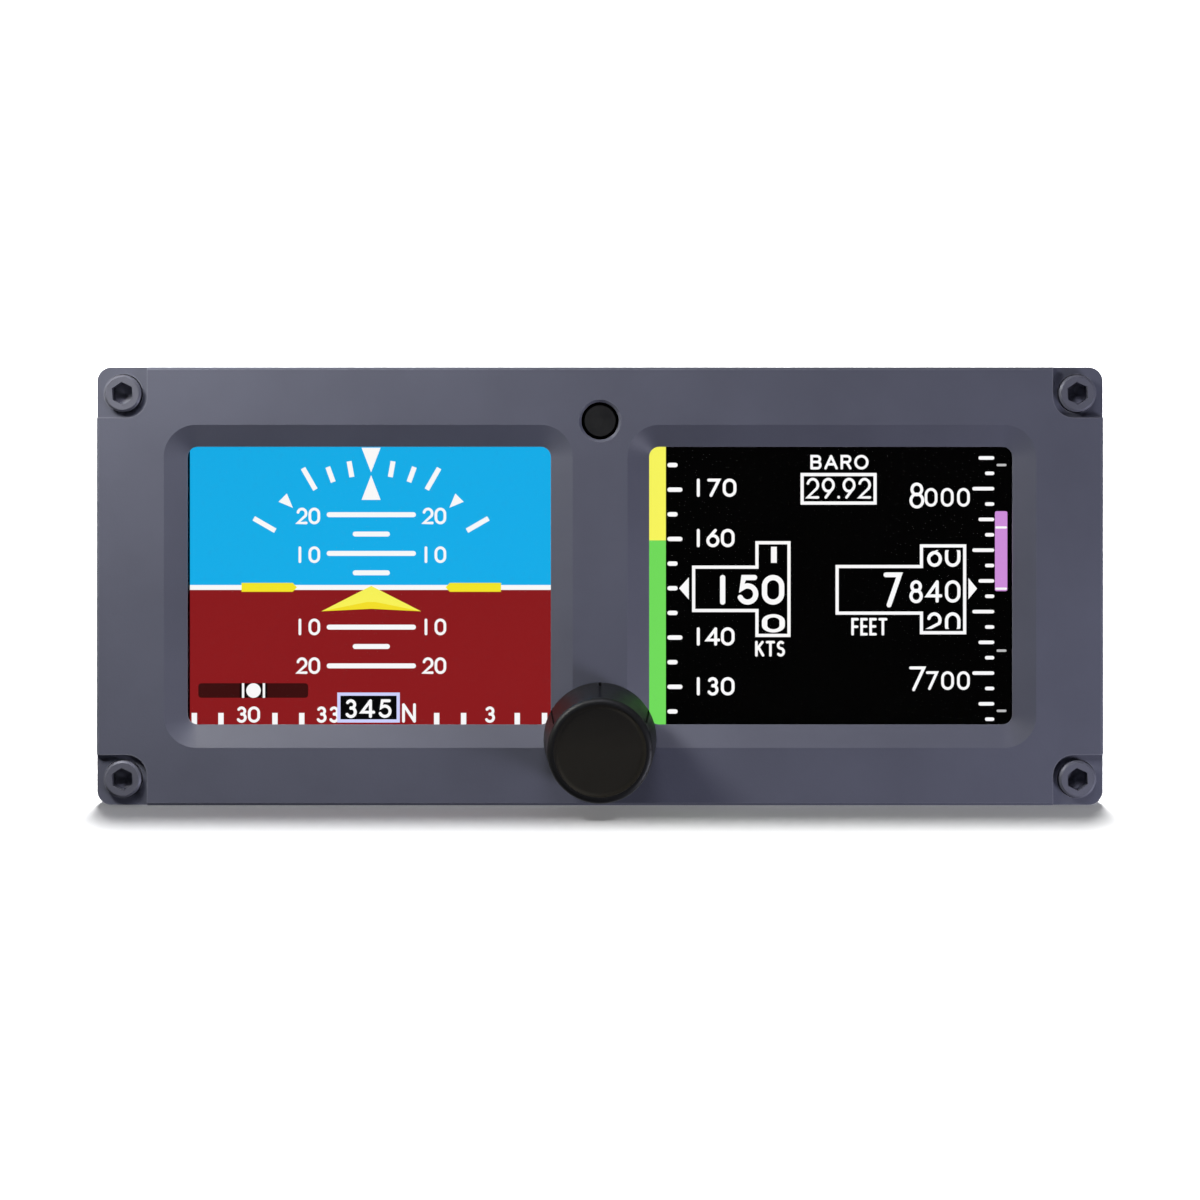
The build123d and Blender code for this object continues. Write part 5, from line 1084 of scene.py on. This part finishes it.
def draw_trend(white):
    """The violet bar beside the altitude, with its white lines and the grey ticks round it."""
    bar = Drawing("right_trend_bar", "right", layer=2)
    bar.fill(rounded_rectangle(*TREND_BAR, TREND_CORNER))
    bar.place(lit_pixels("trend_violet", linear(207, 143, 220)))
    lines = Drawing("right_trend_lines", "right", layer=3)
    for z in TREND_LINE_Z:
        ends = [(TREND_BAR.left + TREND_LINE_INSET, z), (TREND_BAR.right - TREND_LINE_INSET, z)]
        lines.line(ends, TREND_LINE_WIDTH)
    lines.place(white)
    ticks = Drawing("right_trend_ticks", "right", layer=3)
    for z in TREND_TICK_Z:
        ticks.line([(TREND_TICK_LEFT, z), (TREND_TICK_RIGHT, z)], TREND_TICK_WIDTH)
    ticks.place(lit_pixels("tick_grey", linear(190, 190, 190)))


def draw_air_data_picture(white):
    """Everything on the right display."""
    back = Drawing("right_background", "right", layer=1)
    back.fill(rectangle(-HALF_WIDTH, HALF_WIDTH, -HALF_HEIGHT, HALF_HEIGHT))
    back.place(lit_pixels("picture_black", linear(3, 3, 3)))
    marks = Drawing("right_white_marks", "right", layer=3)
    draw_speed_tape(marks)
    draw_speed_counter(marks)
    draw_altitude_tape(marks)
    draw_altitude_counter(marks)
    draw_words(marks)
    marks.place(white)
    draw_trend(white)


# Studio


def make_backdrop():
    """A wide white bowl. The lights show on its floor, and its rim glows, so that the background
    is white from every side. Only the camera sees it, so it adds no light of its own."""
    floor_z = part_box("bezel")[0].z
    profile = [(0.0, floor_z), (GLOW_START, floor_z), (GLOW_END, floor_z)]
    profile += arc(BOWL_RADIUS - BOWL_CORNER, floor_z + BOWL_CORNER, BOWL_CORNER, -90, 0)
    profile.append((BOWL_RADIUS, floor_z + BOWL_HEIGHT))
    mesh = bmesh.new()
    spine = [mesh.verts.new((radius, 0, z)) for radius, z in profile]
    edges = [mesh.edges.new(pair) for pair in zip(spine, spine[1:])]
    bmesh.ops.spin(
        mesh,
        geom=spine + edges,
        cent=(0, 0, 0),
        axis=(0, 0, 1),
        angle=math.tau,
        steps=BOWL_STEPS,
        use_merge=True,
    )
    bmesh.ops.remove_doubles(mesh, verts=mesh.verts, dist=BOWL_MERGE)
    bmesh.ops.recalc_face_normals(mesh, faces=mesh.faces)
    for face in mesh.faces:
        face.smooth = True
    data = bpy.data.meshes.new("studio_bowl")
    mesh.to_mesh(data)
    mesh.free()
    bowl = bpy.data.objects.new("studio_bowl", data)
    bpy.context.scene.collection.objects.link(bowl)
    bowl.visible_diffuse = False
    bowl.visible_glossy = False
    bowl.visible_shadow = False
    data.materials.append(glowing_paper())
    return bowl


def glowing_paper():
    """White paper that glows more the farther it lies from the middle."""
    finish = Finish("studio_paper")
    patches = finish.noise(PAPER_PATCH)
    finish.colour(finish.ramp(patches, (0.3, shade(WHITE, 0.88)), (0.7, shade(WHITE, 0.9))))
    distance = finish.node("ShaderNodeVectorMath", operation="LENGTH")
    finish.link(finish.place, distance.inputs[0])
    glow = finish.node("ShaderNodeMapRange", interpolation_type="SMOOTHSTEP")
    glow.inputs["From Min"].default_value = GLOW_START
    glow.inputs["From Max"].default_value = GLOW_END
    glow.inputs["To Min"].default_value = GLOW_LEAST
    finish.link(distance.outputs["Value"], glow.inputs["Value"])
    finish.link(glow.outputs["Result"], finish.shader.inputs["Emission Strength"])
    finish.set(Emission_Color=WHITE, Roughness=0.9, Specular_IOR_Level=0.0)
    return finish.material


def only(bowl):
    """A collection for the light that is to light nothing but the bowl."""
    group = bpy.data.collections.new("the_bowl")
    group.objects.link(bowl)
    return group


def all_but(name, *pieces):
    """A collection that stands for everything except these pieces."""
    group = bpy.data.collections.new(name)
    for index, piece in enumerate(pieces):
        group.objects.link(piece)
        group.collection_objects[index].light_linking.link_state = "EXCLUDE"
    return group


def make_area_light(name, place, size, power, lit, tint=WHITE[:3]):
    """A soft oval light aimed at the middle of the object. lit says what it lights."""
    data = bpy.data.lights.new(name, "AREA")
    data.shape = "ELLIPSE"
    data.size, data.size_y = size
    data.energy = power
    data.color = tint
    light = bpy.data.objects.new(name, data)
    light.location = place
    light.rotation_mode = "QUATERNION"
    light.rotation_quaternion = (-Vector(place)).to_track_quat("-Z", "Y")
    light.visible_camera = False
    light.light_linking.receiver_collection = lit
    bpy.context.scene.collection.objects.link(light)
    return light


def make_world():
    """Dim light all round, stronger from behind, so that the sides and the rear can be seen."""
    world = bpy.data.worlds.new("studio_world")
    world.use_nodes = True
    tree = world.node_tree
    background = tree.nodes["Background"]
    background.inputs["Color"].default_value = (*WORLD_TINT, 1.0)
    direction = tree.nodes.new("ShaderNodeTexCoord")
    parts = tree.nodes.new("ShaderNodeSeparateXYZ")
    strength = tree.nodes.new("ShaderNodeMapRange")
    strength.inputs["From Min"].default_value = WORLD_CHANGE_START
    strength.inputs["From Max"].default_value = WORLD_CHANGE_END
    strength.inputs["To Min"].default_value = WORLD_FRONT
    strength.inputs["To Max"].default_value = WORLD_REAR
    tree.links.new(direction.outputs["Generated"], parts.inputs["Vector"])
    tree.links.new(parts.outputs["Y"], strength.inputs["Value"])
    tree.links.new(strength.outputs["Result"], background.inputs["Strength"])
    bpy.context.scene.world = world


def make_studio():
    """The bowl, the light all round, and the lights: the bowl has one of its own."""
    bowl = make_backdrop()
    instrument = all_but("all_but_the_bowl", bowl)
    make_world()
    make_area_light("key_light", KEY_PLACE, (KEY_SIZE, KEY_SIZE), KEY_POWER, instrument, KEY_TINT)
    make_area_light("fill_light", FILL_PLACE, (FILL_SIZE, FILL_SIZE), FILL_POWER, instrument, FILL_TINT)
    front_size = (FRONT_SIZE, FRONT_SIZE)
    make_area_light("front_light", FRONT_PLACE, front_size, FRONT_POWER, instrument, FRONT_TINT)
    for index, place in enumerate(REAR_PLACES):
        make_area_light("rear_light_" + str(index), place, (REAR_SIZE, REAR_SIZE), REAR_POWER, instrument)
    floor_light = make_area_light("floor_light", FLOOR_PLACE, FLOOR_SIZE, FLOOR_POWER, only(bowl))
    knob = [frame["nodes"][node] for node in ("knob_body", "knob_cap")]
    floor_light.light_linking.blocker_collection = all_but("all_but_the_knob", *knob)
    bpy.context.scene.view_settings.view_transform = "Standard"


def make_camera():
    """A level camera in front of the bezel, shifted down to put the object where it belongs."""
    face_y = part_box("bezel")[0].y
    data = bpy.data.cameras.new("camera")
    data.sensor_width = SENSOR_WIDTH
    data.lens = SENSOR_WIDTH * CAMERA_DISTANCE / VIEW_WIDTH
    data.shift_y = -(CAMERA_HEIGHT + OBJECT_RISE) / VIEW_WIDTH
    data.clip_start = CLIP_START
    camera = bpy.data.objects.new("camera", data)
    camera.location = (0.0, face_y - CAMERA_DISTANCE, CAMERA_HEIGHT)
    camera.rotation_euler = (math.radians(90), 0.0, 0.0)
    bpy.context.scene.collection.objects.link(camera)
    bpy.context.scene.camera = camera


# The scene

dress_nodes()
display_white = lit_pixels("mark_white", linear(250, 250, 250), sheen=0.0)
draw_attitude_picture(display_white)
draw_air_data_picture(display_white)
make_studio()
make_camera()
